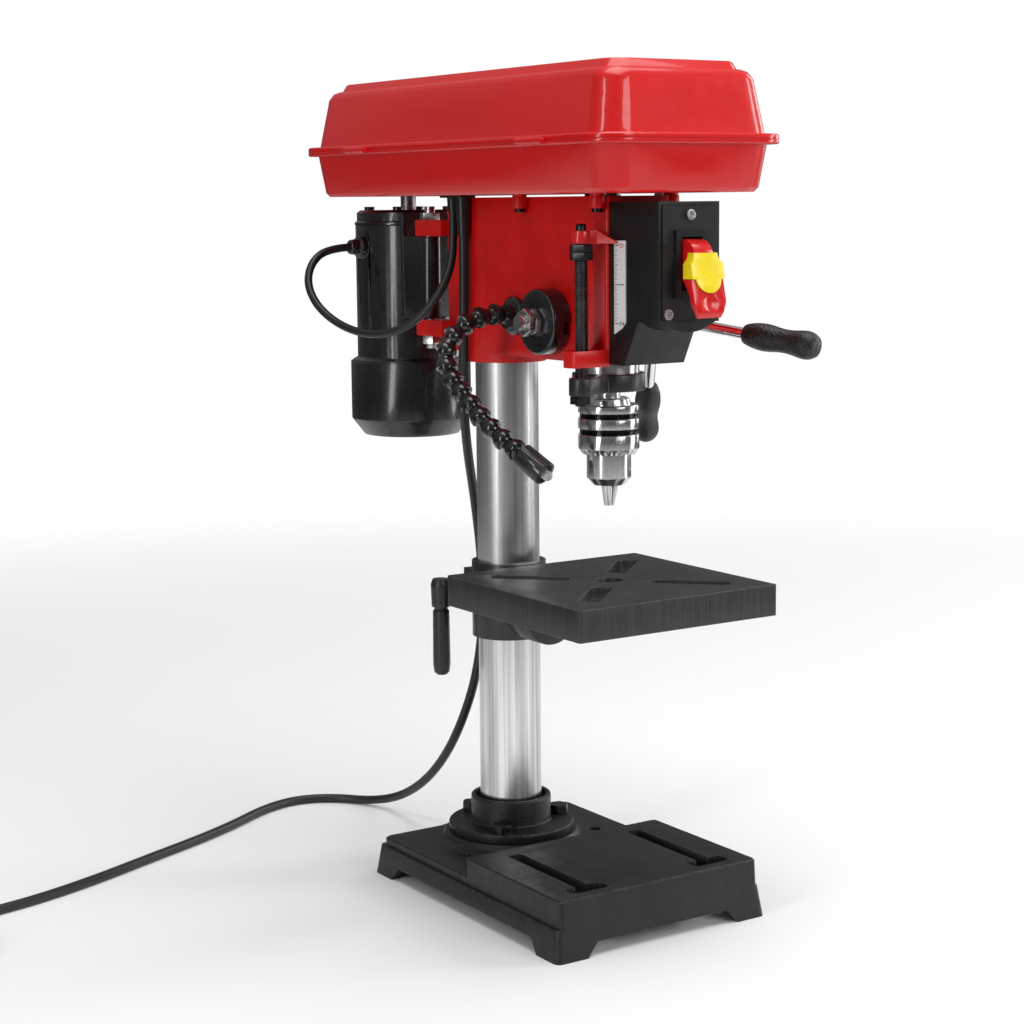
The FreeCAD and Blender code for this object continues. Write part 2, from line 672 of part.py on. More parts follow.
def front_housing():
    half = HOUSING_HALF
    outer = prism([vec(-half, y, z) for y, z in housing_outline(0)], X * (2 * half))
    belly_half = half - 3.0
    bulge = (belly_half ** 2 + BELLY_DEPTH ** 2) / (2 * BELLY_DEPTH)
    belly = rod(bulge, vec(0, HOUSING_FRONT, HOUSING_CHIN - BELLY_DEPTH + bulge), Y, 24)
    belly = belly.common(box(-half, half, HOUSING_FRONT, HOUSING_FRONT + 24,
                             HOUSING_CHIN - BELLY_DEPTH - 1, HOUSING_CHIN + 4))
    shell = fuse([outer, belly])
    wall = HOUSING_WALL
    inner = prism([vec(-half + wall, y, z) for y, z in housing_outline(wall)],
                  X * (2 * (half - wall)))
    inner = inner.fuse(box(-half + wall, half - wall, HEAD_FRONT - 3, HEAD_FRONT + 1,
                           HOUSING_NOSE_LOW + wall, HOUSING_TOP - wall))
    window = box(-half + 7, half - 7, HOUSING_FRONT - 1, HOUSING_FRONT + wall + 1,
                 HOUSING_CHIN + 12, HOUSING_TOP - 12)
    recess = box(-half + wall, half - wall, HOUSING_FRONT - 1, HOUSING_FRONT + 1.2,
                 HOUSING_CHIN + 1.5, HOUSING_TOP - wall)
    body = cut(shell, [inner, window, recess])
    holes = [rod(1.6, vec(x, HOUSING_FRONT - 1, z), Y, 8) for x, z in plate_screw_places()]
    return cut(body, holes)


def plate_screw_places():
    low = HOUSING_CHIN + 5.6
    return [(0.0, HOUSING_TOP - 8.5), (-18.0, low), (18.0, low)]


def switch_plate():
    half = HOUSING_HALF - HOUSING_WALL - SEAT
    front = HOUSING_FRONT + 1.2 - SWITCH_PLATE_THICK
    body = box(-half, half, front, HOUSING_FRONT + 1.2, HOUSING_CHIN + 1.6,
               HOUSING_TOP - HOUSING_WALL - SEAT)
    well = box(-BEZEL_WIDTH / 2 + 3, BEZEL_WIDTH / 2 - 3, front - 1, front + 5,
               SWITCH_Z - BEZEL_HEIGHT / 2 + 3, SWITCH_Z + BEZEL_HEIGHT / 2 - 3)
    holes = [rod(1.6, vec(x, front - 1, z), Y, 8) for x, z in plate_screw_places()]
    return cut(body, [well] + holes)


PLATE_FACE = HOUSING_FRONT + 1.2 - SWITCH_PLATE_THICK
BEZEL_FACE = PLATE_FACE - BEZEL_THICK
PADDLE_AXIS_Y = PLATE_FACE + 4.0
PADDLE_AXIS_Z = SWITCH_Z + 4.0


def switch_body():
    """Switch block behind the plate with its raised bezel in front."""
    bezel = box(-BEZEL_WIDTH / 2, BEZEL_WIDTH / 2, BEZEL_FACE, PLATE_FACE,
                SWITCH_Z - BEZEL_HEIGHT / 2, SWITCH_Z + BEZEL_HEIGHT / 2)
    block = box(-BEZEL_WIDTH / 2 + 3.1, BEZEL_WIDTH / 2 - 3.1, PLATE_FACE - 1, PLATE_FACE + 24,
                SWITCH_Z - BEZEL_HEIGHT / 2 + 3.1, SWITCH_Z + BEZEL_HEIGHT / 2 - 3.1)
    body = fuse([bezel, block])
    well = box(-8.2, 8.2, BEZEL_FACE - 1, PLATE_FACE + 14,
               SWITCH_Z - 17.0, SWITCH_Z + 17.5)
    pins = rod(1.6 + RUNNING, vec(-9.3, PADDLE_AXIS_Y, PADDLE_AXIS_Z), X, 18.6)
    return cut(body, [well, pins])


def paddle_side(out, half):
    """The paddle's side outline drawn across a width, its front moved out by a distance."""

    def at(forward, height):
        return vec(-half, PLATE_FACE - forward, SWITCH_Z + height)

    brow = at(2.7 + out, 16.0)
    swell = at(14.1 + out, 8.0)
    crown = Part.Arc(brow, at(9.8 + out, 13.4), swell)
    corners = [swell, at(17.2 + out, -6.0), at(21.2 + out, -22.0), at(22.0 + out, -30.0),
               at(20.6, -33.8), at(18.4, -33.8), at(16.4, -20.0), at(9.8, -10.3),
               at(-1.0, -9.5), at(-1.0, 16.0), brow]
    edges = [crown.toShape()]
    for start, end in zip(corners, corners[1:]):
        edges.append(Part.LineSegment(start, end).toShape())
    return Part.Face(Part.Wire(edges)).extrude(X * (2 * half))


def switch_paddle():
    """Red paddle hinged in the switch well: a narrow neck and a broad lower lip."""
    neck = paddle_side(0, PADDLE_NECK_HALF)
    half = PADDLE_HALF
    low = SWITCH_Z - 34.0
    front = prism([vec(x, PLATE_FACE - 9.0, z) for x, z in (
        (-half, SWITCH_Z - PADDLE_SHOULDER), (half, SWITCH_Z - PADDLE_SHOULDER),
        (half, SWITCH_Z - 24.0), (half - 3.8, low), (3.8 - half, low),
        (-half, SWITCH_Z - 24.0))], Y * -20)
    lip = paddle_side(0, half).common(front)
    thumb = Part.makeSphere(14.0, vec(0, PLATE_FACE - 34.2, SWITCH_Z - 23.0))
    stem = box(-PADDLE_NECK_HALF, PADDLE_NECK_HALF, PLATE_FACE - 1, PADDLE_AXIS_Y + 3.0,
               PADDLE_AXIS_Z - 4.5, PADDLE_AXIS_Z + 4.5)
    pivot = rod(1.6, vec(-9.0, PADDLE_AXIS_Y, PADDLE_AXIS_Z), X, 18.0)
    slot = box(-KEY_SHANK_HALF - KEY_GAP, KEY_SHANK_HALF + KEY_GAP, PLATE_FACE - 30,
               PLATE_FACE - KEY_SHANK_END + KEY_GAP, SWITCH_Z - 7.3, SWITCH_Z + 5.3)
    return cut(fuse([neck, lip, stem, pivot]), [thumb, slot])


def safety_key():
    """Yellow key: a capped tongue over the paddle, two ears beside its neck, and a shank."""
    top = SWITCH_Z + 7.5
    low = SWITCH_Z - PADDLE_SHOULDER + KEY_GAP
    ear = PADDLE_HALF + 0.2
    y = PLATE_FACE - 9.6

    def at(x, z):
        return vec(x, y, z)

    edges = [Part.LineSegment(at(-9.3, top), at(9.3, top)).toShape(),
             Part.Arc(at(9.3, top), at(10.4, top - 4.2), at(ear, top - 7.0)).toShape(),
             Part.LineSegment(at(ear, top - 7.0), at(ear, low)).toShape(),
             Part.LineSegment(at(ear, low), at(9.9, low)).toShape(),
             Part.Arc(at(9.9, low), at(0, low - 8.8), at(-9.9, low)).toShape(),
             Part.LineSegment(at(-9.9, low), at(-ear, low)).toShape(),
             Part.LineSegment(at(-ear, low), at(-ear, top - 7.0)).toShape(),
             Part.Arc(at(-ear, top - 7.0), at(-10.4, top - 4.2), at(-9.3, top)).toShape()]
    outline = Part.Face(Part.Wire(edges)).extrude(Y * -20)
    cap = outline.common(paddle_side(KEY_THICK, 20.0))
    neck = paddle_side(KEY_GAP, PADDLE_NECK_HALF + KEY_GAP)
    lip = paddle_side(KEY_GAP, 20.0).common(box(-20, 20, -300, 300, low - 30, low + 0.01))
    shank = box(-KEY_SHANK_HALF, KEY_SHANK_HALF, PLATE_FACE - 14.0, PLATE_FACE - KEY_SHANK_END,
                SWITCH_Z - 7.0, SWITCH_Z + 5.0)
    return fuse([cut(cap, [neck, lip]), shank.fuse(shank_bridge())])


def shank_bridge():
    """Fills between the shank and the cap through the paddle's slot."""
    reach = box(-KEY_SHANK_HALF, KEY_SHANK_HALF, PLATE_FACE - 30, PLATE_FACE - 12.0,
                SWITCH_Z - 7.0, SWITCH_Z + 5.0)
    return reach.common(paddle_side(KEY_THICK - 0.2, 20.0))


def housing_screws():
    screws = []
    for x, z in plate_screw_places():
        head = rod(3.4, vec(x, PLATE_FACE - 1.6, z), Y, 1.6)
        shank = rod(1.5, vec(x, PLATE_FACE - 0.5, z), Y, 6.5)
        cross = fuse([box(x - 2.0, x + 2.0, PLATE_FACE - 2, PLATE_FACE - 0.8, z - 0.4, z + 0.4),
                      box(x - 0.4, x + 0.4, PLATE_FACE - 2, PLATE_FACE - 0.8, z - 2.0, z + 2.0)])
        screws.append(fuse([head, shank]).cut(cross))
    return screws


def depth_scale():
    """Plate strip with a pointed lower end on the housing's left side."""
    x = -HOUSING_HALF - SCALE_THICK
    rear = HEAD_FRONT - 6.8
    front = rear - SCALE_WIDTH
    low = SCALE_TOP - SCALE_LENGTH
    return prism([vec(x, front, SCALE_TOP), vec(x, rear, SCALE_TOP), vec(x, rear, low),
                  vec(x, front + 4, low + 4), vec(x, front, low + 8)], X * SCALE_THICK)


def head_group():
    return {
        "head_casting": head_casting(),
        "front_housing": front_housing(),
        "switch_plate": switch_plate(),
        "switch_body": switch_body(),
        "switch_paddle": switch_paddle(),
        "safety_key": safety_key(),
        "depth_scale": depth_scale(),
    }


# -------------------------------------------------------- quill and chuck
def rack_gaps():
    """Tooth spaces of the rack, one of them facing the pinion at rest."""
    pitch = math.pi * RACK_MODULE
    line = SPINDLE_Y + RACK_LINE
    tools = []
    count = int(STROKE / pitch) + 3
    for index in range(-1, count):
        z = PINION_Z + pitch * index
        half_pitch = pitch / 4.0 + TOOTH_BACKLASH / 2.0
        tip = half_pitch + (TOOTH_ADDENDUM + 1.0) * math.tan(PRESSURE)
        root = half_pitch - TOOTH_DEDENDUM * math.tan(PRESSURE)
        y_tip = line + TOOTH_ADDENDUM + 1.0
        y_root = line - TOOTH_DEDENDUM
        points = [vec(-20, y_tip, z - tip), vec(-20, y_root, z - root),
                  vec(-20, y_root, z + root), vec(-20, y_tip, z + tip)]
        tools.append(prism(points, X * 40))
    return tools


def quill():
    low = vec(0, SPINDLE_Y, QUILL_LOW)
    height = QUILL_HIGH - QUILL_LOW
    body = rod(QUILL_R, low, Z, height)
    bore = rod(SPINDLE_R + 2.5, low - Z, Z, height + 2)
    lower = rod(LOWER_BEARING_R + SEAT / 2, low - Z, Z, QUILL_BEARING_HEIGHT + 1)
    upper = rod(UPPER_BEARING_R + SEAT / 2,
                vec(0, SPINDLE_Y, QUILL_HIGH - QUILL_BEARING_HEIGHT), Z, 20)
    return cut(body, [bore, lower, upper] + rack_gaps())


def quill_bearings():
    height = QUILL_BEARING_HEIGHT - 1
    return Part.makeCompound([
        ring(LOWER_BEARING_R, SPINDLE_R + RUNNING, vec(0, SPINDLE_Y, QUILL_LOW + 1), Z, height),
        ring(UPPER_BEARING_R, SPINDLE_R + RUNNING,
             vec(0, SPINDLE_Y, QUILL_HIGH - QUILL_BEARING_HEIGHT), Z, height)])


CHUCK_TOP = 368.0
NOSE_LOW = 346.0
CHUCK_BODY_LOW = 308.0
CHUCK_STEP = 313.0
CHUCK_SLEEVE_LOW = 329.3
CHUCK_SLEEVE_TOP = 363.3
CHUCK_SLEEVE_R = 21.0
CHUCK_SLEEVE_GROOVE_R = 20.0
CHUCK_BODY_R = 15.25
JAW_TIP = 293.4
JAW_R = 3.4
JAW_TILT = math.radians(11.8)
JAW_LENGTH = 38.0
JAW_TRAVEL = 10.0


def spline(extra):
    """Splined bar section, grown by a clearance, from the quill to its top."""
    low = QUILL_HIGH - QUILL_BEARING_HEIGHT
    height = SPINDLE_TOP - low
    start = vec(0, SPINDLE_Y, low)
    shapes = [rod(SPLINE_ROOT_R + extra, start, Z, height)]
    half = 1.1 + extra
    for index in range(SPLINE_COUNT // 2):
        key = box(-SPLINE_R - extra, SPLINE_R + extra, -half, half, low, low + height)
        key.rotate(vec(0, 0, 0), Z, 360.0 / SPLINE_COUNT * index)
        key.translate(vec(0, SPINDLE_Y, 0))
        shapes.append(key)
    return fuse(shapes)


def spindle():
    centre = vec(0, SPINDLE_Y, 0)
    low = QUILL_LOW - GAP
    profile = [(0, NOSE_LOW), (7.0, NOSE_LOW), (SPINDLE_NECK_R, CHUCK_TOP - 1),
               (SPINDLE_NECK_R, low), (SPINDLE_R, low), (SPINDLE_R, QUILL_HIGH + 0.5),
               (0, QUILL_HIGH + 0.5)]
    return fuse([turned(profile, centre), spline(0.0).cut(
        box(-40, 40, SPINDLE_Y - 40, SPINDLE_Y + 40, 0, QUILL_HIGH))])


def jaw_axes():
    """Foot and direction of each jaw's inclined axis."""
    axes = []
    for index in range(3):
        angle = math.radians(120.0 * index + 90.0)
        lean = vec(math.cos(angle), math.sin(angle), 0) * math.sin(JAW_TILT)
        axes.append((vec(0, SPINDLE_Y, JAW_TIP), lean + Z * math.cos(JAW_TILT), index))
    return axes


def chuck_body():
    centre = vec(0, SPINDLE_Y, 0)
    body = turned([(0, CHUCK_BODY_LOW), (11.0, CHUCK_BODY_LOW), (CHUCK_BODY_R, CHUCK_STEP),
                   (CHUCK_BODY_R, CHUCK_SLEEVE_TOP + GAP), (15.1, CHUCK_SLEEVE_TOP + GAP),
                   (14.0, CHUCK_TOP - 0.8), (12.5, CHUCK_TOP), (0, CHUCK_TOP)], centre)
    taper = turned([(0, NOSE_LOW - 1), (7.0 + RUNNING, NOSE_LOW - 1), (7.0 + RUNNING, NOSE_LOW),
                    (SPINDLE_NECK_R + RUNNING, CHUCK_TOP - 1),
                    (SPINDLE_NECK_R + RUNNING, CHUCK_TOP + 1), (0, CHUCK_TOP + 1)], centre)
    tools = [taper]
    for foot, direction, index in jaw_axes():
        tools.append(rod(JAW_R + 0.1, foot, direction, JAW_LENGTH + JAW_TRAVEL + 1))
    throat = rod(6.5, vec(0, SPINDLE_Y, CHUCK_BODY_LOW - 1), Z, 14)
    tools.append(throat)
    for index in range(3):
        angle = math.radians(120.0 * index - 60.0)
        out = vec(math.cos(angle), math.sin(angle), 0)
        hole = rod(2.6, vec(0, SPINDLE_Y, 323.0) + out * 10.5, out, 8)
        tools.append(hole)
    return cut(body, tools)


def chuck_sleeve():
    centre = vec(0, SPINDLE_Y, 0)
    outer = CHUCK_SLEEVE_R
    groove = CHUCK_SLEEVE_GROOVE_R
    inner = CHUCK_BODY_R + GAP
    teeth_top = CHUCK_SLEEVE_LOW + 5.1
    profile = [(inner, CHUCK_SLEEVE_LOW), (outer - 3.0, CHUCK_SLEEVE_LOW), (outer, teeth_top - 1),
               (outer, 342.6), (groove, 343.2), (groove, 346.6), (outer, 347.2),
               (outer, 353.6), (groove, 354.2), (groove, 357.4), (outer, 358.0),
               (outer, CHUCK_SLEEVE_TOP - 0.8), (outer - 0.8, CHUCK_SLEEVE_TOP),
               (inner, CHUCK_SLEEVE_TOP)]
    body = turned(profile, centre)
    tools = []
    count = 30
    for index in range(count):
        notch = prism([vec(16.2, -1.35, CHUCK_SLEEVE_LOW - 1), vec(16.2, 1.35, CHUCK_SLEEVE_LOW - 1),
                       vec(16.2, 0.35, CHUCK_SLEEVE_LOW + 3.6),
                       vec(16.2, -0.35, CHUCK_SLEEVE_LOW + 3.6)], X * 8)
        notch.rotate(vec(0, 0, 0), Z, 360.0 / count * index)
        notch.translate(centre)
        tools.append(notch)
    return body.cut(Part.makeCompound(tools))


def chuck_jaws():
    jaws = {}
    for foot, direction, index in jaw_axes():
        pin = rod(JAW_R, foot, direction, JAW_LENGTH)
        angle = 120.0 * index + 90.0
        gap = 0.3
        wedge_points = []
        for turn in (0.0, -60.0, 60.0):
            reach = gap / math.sin(math.radians(60.0)) if turn == 0.0 else 60.0
            radians = math.radians(angle + turn)
            point = vec(reach * math.cos(radians), SPINDLE_Y + reach * math.sin(radians), 280)
            if turn != 0.0:
                shift = math.radians(angle)
                point = point + vec(gap * 1.155 * math.cos(shift), gap * 1.155 * math.sin(shift), 0)
            wedge_points.append(point)
        wedge = prism(wedge_points, Z * 120)
        floor = box(-30, 30, SPINDLE_Y - 30, SPINDLE_Y + 30, JAW_TIP, JAW_TIP + 100)
        jaws["chuck_jaw_%d" % (index + 1)] = pin.common(wedge).common(floor)
    return jaws


def quill_group():
    pieces = {
        "quill": quill(),
        "quill_bearings": quill_bearings(),
        "spindle": spindle(),
        "chuck_body": chuck_body(),
        "chuck_sleeve": chuck_sleeve(),
    }
    pieces.update(chuck_jaws())
    return pieces


# ------------------------------------------------------------ depth stop
def depth_collar():
    """Clamp ring under the quill with an arm that holds the depth rod."""
    inner = QUILL_R + RUNNING
    outer = inner + ARM_WALL
    start = vec(0, SPINDLE_Y, ARM_LOW)
    hoop = rod(outer, start, Z, ARM_HEIGHT)
    end = rod(8.5, vec(DEPTH_ROD_X, DEPTH_ROD_Y, ARM_LOW), Z, ARM_HEIGHT)
    along = vec(DEPTH_ROD_X, DEPTH_ROD_Y - SPINDLE_Y, 0)
    arm = box(0, along.Length, -8.5, 8.5, ARM_LOW, ARM_LOW + ARM_HEIGHT)
    arm.rotate(vec(0, 0, 0), Z, math.degrees(math.atan2(along.y, along.x)))
    arm.translate(vec(0, SPINDLE_Y, 0))
    hollow = rod(inner, start - Z, Z, ARM_HEIGHT + 2)
    hole = rod(DEPTH_ROD_R + RUNNING, vec(DEPTH_ROD_X, DEPTH_ROD_Y, ARM_LOW - 1), Z,
               ARM_HEIGHT + 2)
    return cut(fuse([hoop, end, arm]), [hollow, hole])


def depth_rod():
    """Threaded rod with its lock nut run up under the collar's arm."""
    axis = vec(DEPTH_ROD_X, DEPTH_ROD_Y, 0)
    lock = hexagon(DEPTH_NUT_FLATS, axis + Z * (ARM_LOW - DEPTH_NUT_HEIGHT - SEAT), Z,
                   DEPTH_NUT_HEIGHT, 10.0)
    bar = turned([(0, DEPTH_ROD_LOW), (DEPTH_ROD_R - 0.8, DEPTH_ROD_LOW),
                   (DEPTH_ROD_R, DEPTH_ROD_LOW + 1), (DEPTH_ROD_R, DEPTH_ROD_THREAD),
                   (DEPTH_ROD_R - 1, DEPTH_ROD_THREAD), (DEPTH_ROD_R - 1, DEPTH_ROD_TOP - 1),
                   (DEPTH_ROD_R - 1.8, DEPTH_ROD_TOP), (0, DEPTH_ROD_TOP)], axis)
    return fuse([bar, lock])


def depth_nut(z, height):
    axis = vec(DEPTH_ROD_X, DEPTH_ROD_Y, z)
    nut = hexagon(DEPTH_NUT_FLATS, axis, Z, height, 10.0)
    return nut.cut(rod(DEPTH_ROD_R + RUNNING, axis - Z, Z, height + 2))


POINTER_LOW = DEPTH_ROD_THREAD
NUTS_TOP = POINTER_LOW - GAP


def depth_nuts():
    upper = depth_nut(NUTS_TOP - DEPTH_NUT_HEIGHT, DEPTH_NUT_HEIGHT)
    lower = depth_nut(NUTS_TOP - 2 * DEPTH_NUT_HEIGHT - SEAT, DEPTH_NUT_HEIGHT)
    return Part.makeCompound([upper, lower])


def depth_pointer():
    """Red pointer on the rod's plain end, reaching to the scale."""
    axis = vec(DEPTH_ROD_X, DEPTH_ROD_Y, POINTER_LOW)
    hub = rod(6.5, axis, Z, POINTER_HEIGHT)
    tip = vec(-HOUSING_HALF - 2.2, HEAD_FRONT - 13.0, 0)
    z0 = POINTER_LOW
    z1 = POINTER_LOW + POINTER_HEIGHT
    blade = prism([vec(DEPTH_ROD_X - 2, DEPTH_ROD_Y - 4.5, z0),
                   vec(DEPTH_ROD_X + 12, DEPTH_ROD_Y - 4.5, z0),
                   vec(tip.x, tip.y, z0), vec(tip.x - 1.2, tip.y, z0),
                   vec(DEPTH_ROD_X + 8, DEPTH_ROD_Y - 7.0, z0)], Z * (z1 - z0))
    slope = prism([vec(-70, HEAD_FRONT, z1 + 1), vec(-70, HEAD_FRONT, z1),
                   vec(-70, tip.y, z0 + 1.2), vec(-70, tip.y - 3, z0 + 1.2),
                   vec(-70, tip.y - 3, z1 + 1)], X * 60)
    hole = rod(DEPTH_ROD_R - 1 + RUNNING, axis - Z, Z, POINTER_HEIGHT + 2)
    return fuse([hub, blade.cut(slope)]).cut(hole)


def depth_group():
    return {
        "depth_collar": depth_collar(),
        "depth_rod": depth_rod(),
        "depth_nuts": depth_nuts(),
        "depth_pointer": depth_pointer(),
    }


# -------------------------------------------------------------- the feed
def involute_point(base_r, radius, offset, mirror):
    """Point on an involute flank at a radius, as an angle from the tooth's middle."""
    roll = math.sqrt(max(radius * radius / (base_r * base_r) - 1.0, 0.0))
    angle = offset - (roll - math.atan(roll))
    return radius, angle * mirror


def pinion_teeth():
    base_r = PINION_PITCH_R * math.cos(PRESSURE)
    tip_r = PINION_PITCH_R + TOOTH_ADDENDUM
    root_r = PINION_PITCH_R - TOOTH_DEDENDUM
    pitch_roll = math.tan(PRESSURE) - PRESSURE
    half_tooth = math.pi / (2 * PINION_TEETH) - TOOTH_BACKLASH / (2 * PINION_PITCH_R)
    offset = half_tooth + pitch_roll
    steps = 4
    outline = []
    for tooth in range(PINION_TEETH):
        middle = math.pi + 2 * math.pi * tooth / PINION_TEETH
        flank = [(root_r, offset)]
        for step in range(steps + 1):
            radius = base_r + (tip_r - base_r) * step / steps
            flank.append(involute_point(base_r, radius, offset, 1.0))
        for radius, angle in flank:
            outline.append((radius, middle - angle))
        for radius, angle in reversed(flank):
            outline.append((radius, middle + angle))
    points = [vec(-PINION_HALF, PINION_Y + radius * math.cos(angle),
                  PINION_Z + radius * math.sin(angle)) for radius, angle in outline]
    return prism(points, X * (2 * PINION_HALF))


def pinion_shaft():
    axis = vec(0, PINION_Y, PINION_Z)
    left = HEAD_HALF + SPRING_CASE_DEPTH
    lands = [rod(PINION_LAND_R, axis + X * PINION_HALF, X, HEAD_HALF + 1 - PINION_HALF),
             rod(PINION_LAND_R, axis - X * PINION_HALF, -X, HEAD_HALF - 0.5 - PINION_HALF)]
    arbor = rod(6.5, axis - X * (HEAD_HALF - 1), -X, SPRING_CASE_DEPTH - SPRING_CASE_WALL)
    stud = rod(STUD_R, axis - X * (HEAD_HALF - 1), -X, left - HEAD_HALF + 16)
    tail = rod(8.0, axis + X * HEAD_HALF, X, HUB_CENTRE_X - HEAD_HALF - 14)
    return fuse([pinion_teeth()] + lands + [arbor, stud, tail])


def feed_hub():
    axis = vec(0, PINION_Y, PINION_Z)
    low = HEAD_HALF + 1.0 + GAP
    profile = [(0, low), (12.0, low), (13.5, low + 2), (13.5, 44), (HUB_R, 50), (HUB_R, 66),
               (12.0, 71), (0, 72.5)]
    body = turned(profile, axis, X)
    sockets = [rod(8.0 + RUNNING, axis + X * (low - 1), X, HUB_CENTRE_X - 14 - low + 1.05)]
    for start, direction in handle_axes():
        sockets.append(rod(ROD_R + RUNNING, start + direction * 7.95, direction, 30))
    return cut(body, sockets)


def handle_axes():
    start = vec(HUB_CENTRE_X - 4, PINION_Y, PINION_Z)
    axes = []
    for index in range(HANDLE_COUNT):
        angle = HANDLE_FIRST - 2 * math.pi * index / HANDLE_COUNT
        out = vec(0, -math.cos(angle), math.sin(angle))
        axes.append((start, out * math.cos(HANDLE_TILT) + X * math.sin(HANDLE_TILT)))
    return axes


def handle_rods():
    reach = GRIP_END - 10
    return Part.makeCompound([rod(ROD_R, start + direction * 8, direction, reach - 8)
                              for start, direction in handle_axes()])


def handle_grips():
    grips = []
    length = GRIP_END + 6 - GRIP_START
    for start, direction in handle_axes():
        top = [vec(radius * GRIP_R, 0, share * length) for radius, share in (
            (0.74, 0.02), (0.95, 0.16), (1.0, 0.30), (0.86, 0.52), (0.92, 0.68),
            (1.03, 0.84), (0.70, 0.975))]
        curve = Part.BSplineCurve()
        curve.interpolate(top)
        close = [top[-1], vec(0, 0, length), vec(0, 0, 0), vec(top[0].x * 0.9, 0, 0), top[0]]
        edges = [curve.toShape()]
        for first, second in zip(close[:-1], close[1:]):
            edges.append(Part.LineSegment(first, second).toShape())
        body = Part.Face(Part.Wire(edges)).revolve(vec(0, 0, 0), Z, 360)
        body = placed(body, start + direction * GRIP_START, direction)
        hole = rod(ROD_R + RUNNING, start + direction * (GRIP_START - 2), direction,
                   GRIP_END - GRIP_START - 7.5)
        grips.append(body.cut(hole))
    return Part.makeCompound(grips)


def spring_case():
    axis = vec(-HEAD_HALF, PINION_Y, PINION_Z)
    wall = SPRING_CASE_WALL
    outer = turned([(0, 0), (SPRING_CASE_R, 0), (SPRING_CASE_R, SPRING_CASE_DEPTH - 1.2),
                    (SPRING_CASE_R - 1.2, SPRING_CASE_DEPTH), (0, SPRING_CASE_DEPTH)], axis, -X)
    inner = rod(SPRING_CASE_R - wall, axis + X, -X, SPRING_CASE_DEPTH - wall + 1)
    hole = rod(STUD_R + GAP, axis, -X, 40)
    body = cut(outer, [inner, hole])
    for degrees in (-110.0, 10.0):
        notch = box(-HEAD_HALF - 6, -HEAD_HALF + 1, PINION_Y - SPRING_CASE_R - 2,
                    PINION_Y - SPRING_CASE_R + 3, PINION_Z - 4, PINION_Z + 4)
        notch.rotate(axis, X, degrees)
        body = body.cut(notch)
    return body


def return_spring():
    """Flat spiral spring as half rings of growing radius."""
    strip = 0.8
    step = 1.4
    width = 8.0
    turns = 9
    radius = 7.4
    centre_z = PINION_Z
    x = -HEAD_HALF - 2.0
    halves = []
    side = 1
    for index in range(turns):
        outer = rod(radius + strip, vec(x, PINION_Y, centre_z), -X, width)
        inner = rod(radius, vec(x, PINION_Y, centre_z), -X, width)
        keep_low = PINION_Y if side > 0 else PINION_Y - 60
        keep = box(x - width, x, keep_low, keep_low + 60, centre_z - 60, centre_z + 60)
        halves.append(outer.cut(inner).common(keep))
        centre_z = centre_z + (step / 2.0 if side > 0 else -step / 2.0)
        radius = radius + step / 2.0
        side = -side
    return fuse(halves)


def spring_nuts():
    nuts = []
    x = -HEAD_HALF - SPRING_CASE_DEPTH - GAP
    for index in range(2):
        start = vec(x - index * (HEX_M10_HEIGHT + SEAT), PINION_Y, PINION_Z)
        nut = hexagon(HEX_M10, start, -X, HEX_M10_HEIGHT, 12.0 + 14.0 * index)
        nuts.append(nut.cut(rod(STUD_R + RUNNING, start + X, -X, 10)))
    return Part.makeCompound(nuts)


def feed_group():
    return {
        "pinion_shaft": pinion_shaft(),
        "feed_hub": feed_hub(),
        "handle_rods": handle_rods(),
        "handle_grips": handle_grips(),
        "spring_case": spring_case(),
        "return_spring": return_spring(),
        "spring_nuts": spring_nuts(),
    }


# ------------------------------------------------------------ belt cover
def cover_section(inset, z, wall=0.0, front_extra=0.0):
    grow = inset + wall
    half = COVER_RIM_HALF - grow
    radius = max(COVER_RADIUS - grow * 0.45, 6.0)
    return (-half, half, COVER_RIM_FRONT + grow + front_extra, COVER_RIM_REAR - grow, z, radius)


def hinge_knuckles(lid_side):
    """Hinge barrels on the left rim: outer thirds on the tray, middle on the lid."""
    shapes = []
    for place in HINGE_PLACES:
        third = HINGE_LENGTH / 3.0
        spans = ((third, 2 * third),) if lid_side else ((0, third), (2 * third, HINGE_LENGTH))
        for low, high in spans:
            y0 = place - HINGE_LENGTH / 2.0 + low + SEAT
            y1 = place - HINGE_LENGTH / 2.0 + high - SEAT
            barrel = rod(HINGE_R, vec(HINGE_X, y0, RIM_SEAM), Y, y1 - y0)
            if lid_side:
                leaf = box(HINGE_X, -COVER_RIM_HALF + 1.5, y0, y1, RIM_SEAM + GAP, RIM_SEAM + HINGE_R)
            else:
                leaf = box(HINGE_X, -COVER_RIM_HALF + 1.5, y0, y1, RIM_SEAM - HINGE_R, RIM_SEAM)
            shapes.append(fuse([barrel, leaf]))
    return shapes


def hinge_relief(lid_side):
    """Clearance in one rim for the other piece's barrels."""
    third = HINGE_LENGTH / 3.0
    tools = []
    for place in HINGE_PLACES:
        spans = ((0, third), (2 * third, HINGE_LENGTH)) if lid_side else ((third, 2 * third),)
        for low, high in spans:
            y0 = place - HINGE_LENGTH / 2.0 + low - SEAT
            tools.append(rod(HINGE_R + GAP, vec(HINGE_X, y0, RIM_SEAM), Y, high - low + 2 * SEAT))
    return tools


def hinge_bores():
    return [rod(HINGE_PIN_R + RUNNING, vec(HINGE_X, place - HINGE_LENGTH, RIM_SEAM), Y,
                2 * HINGE_LENGTH) for place in HINGE_PLACES]


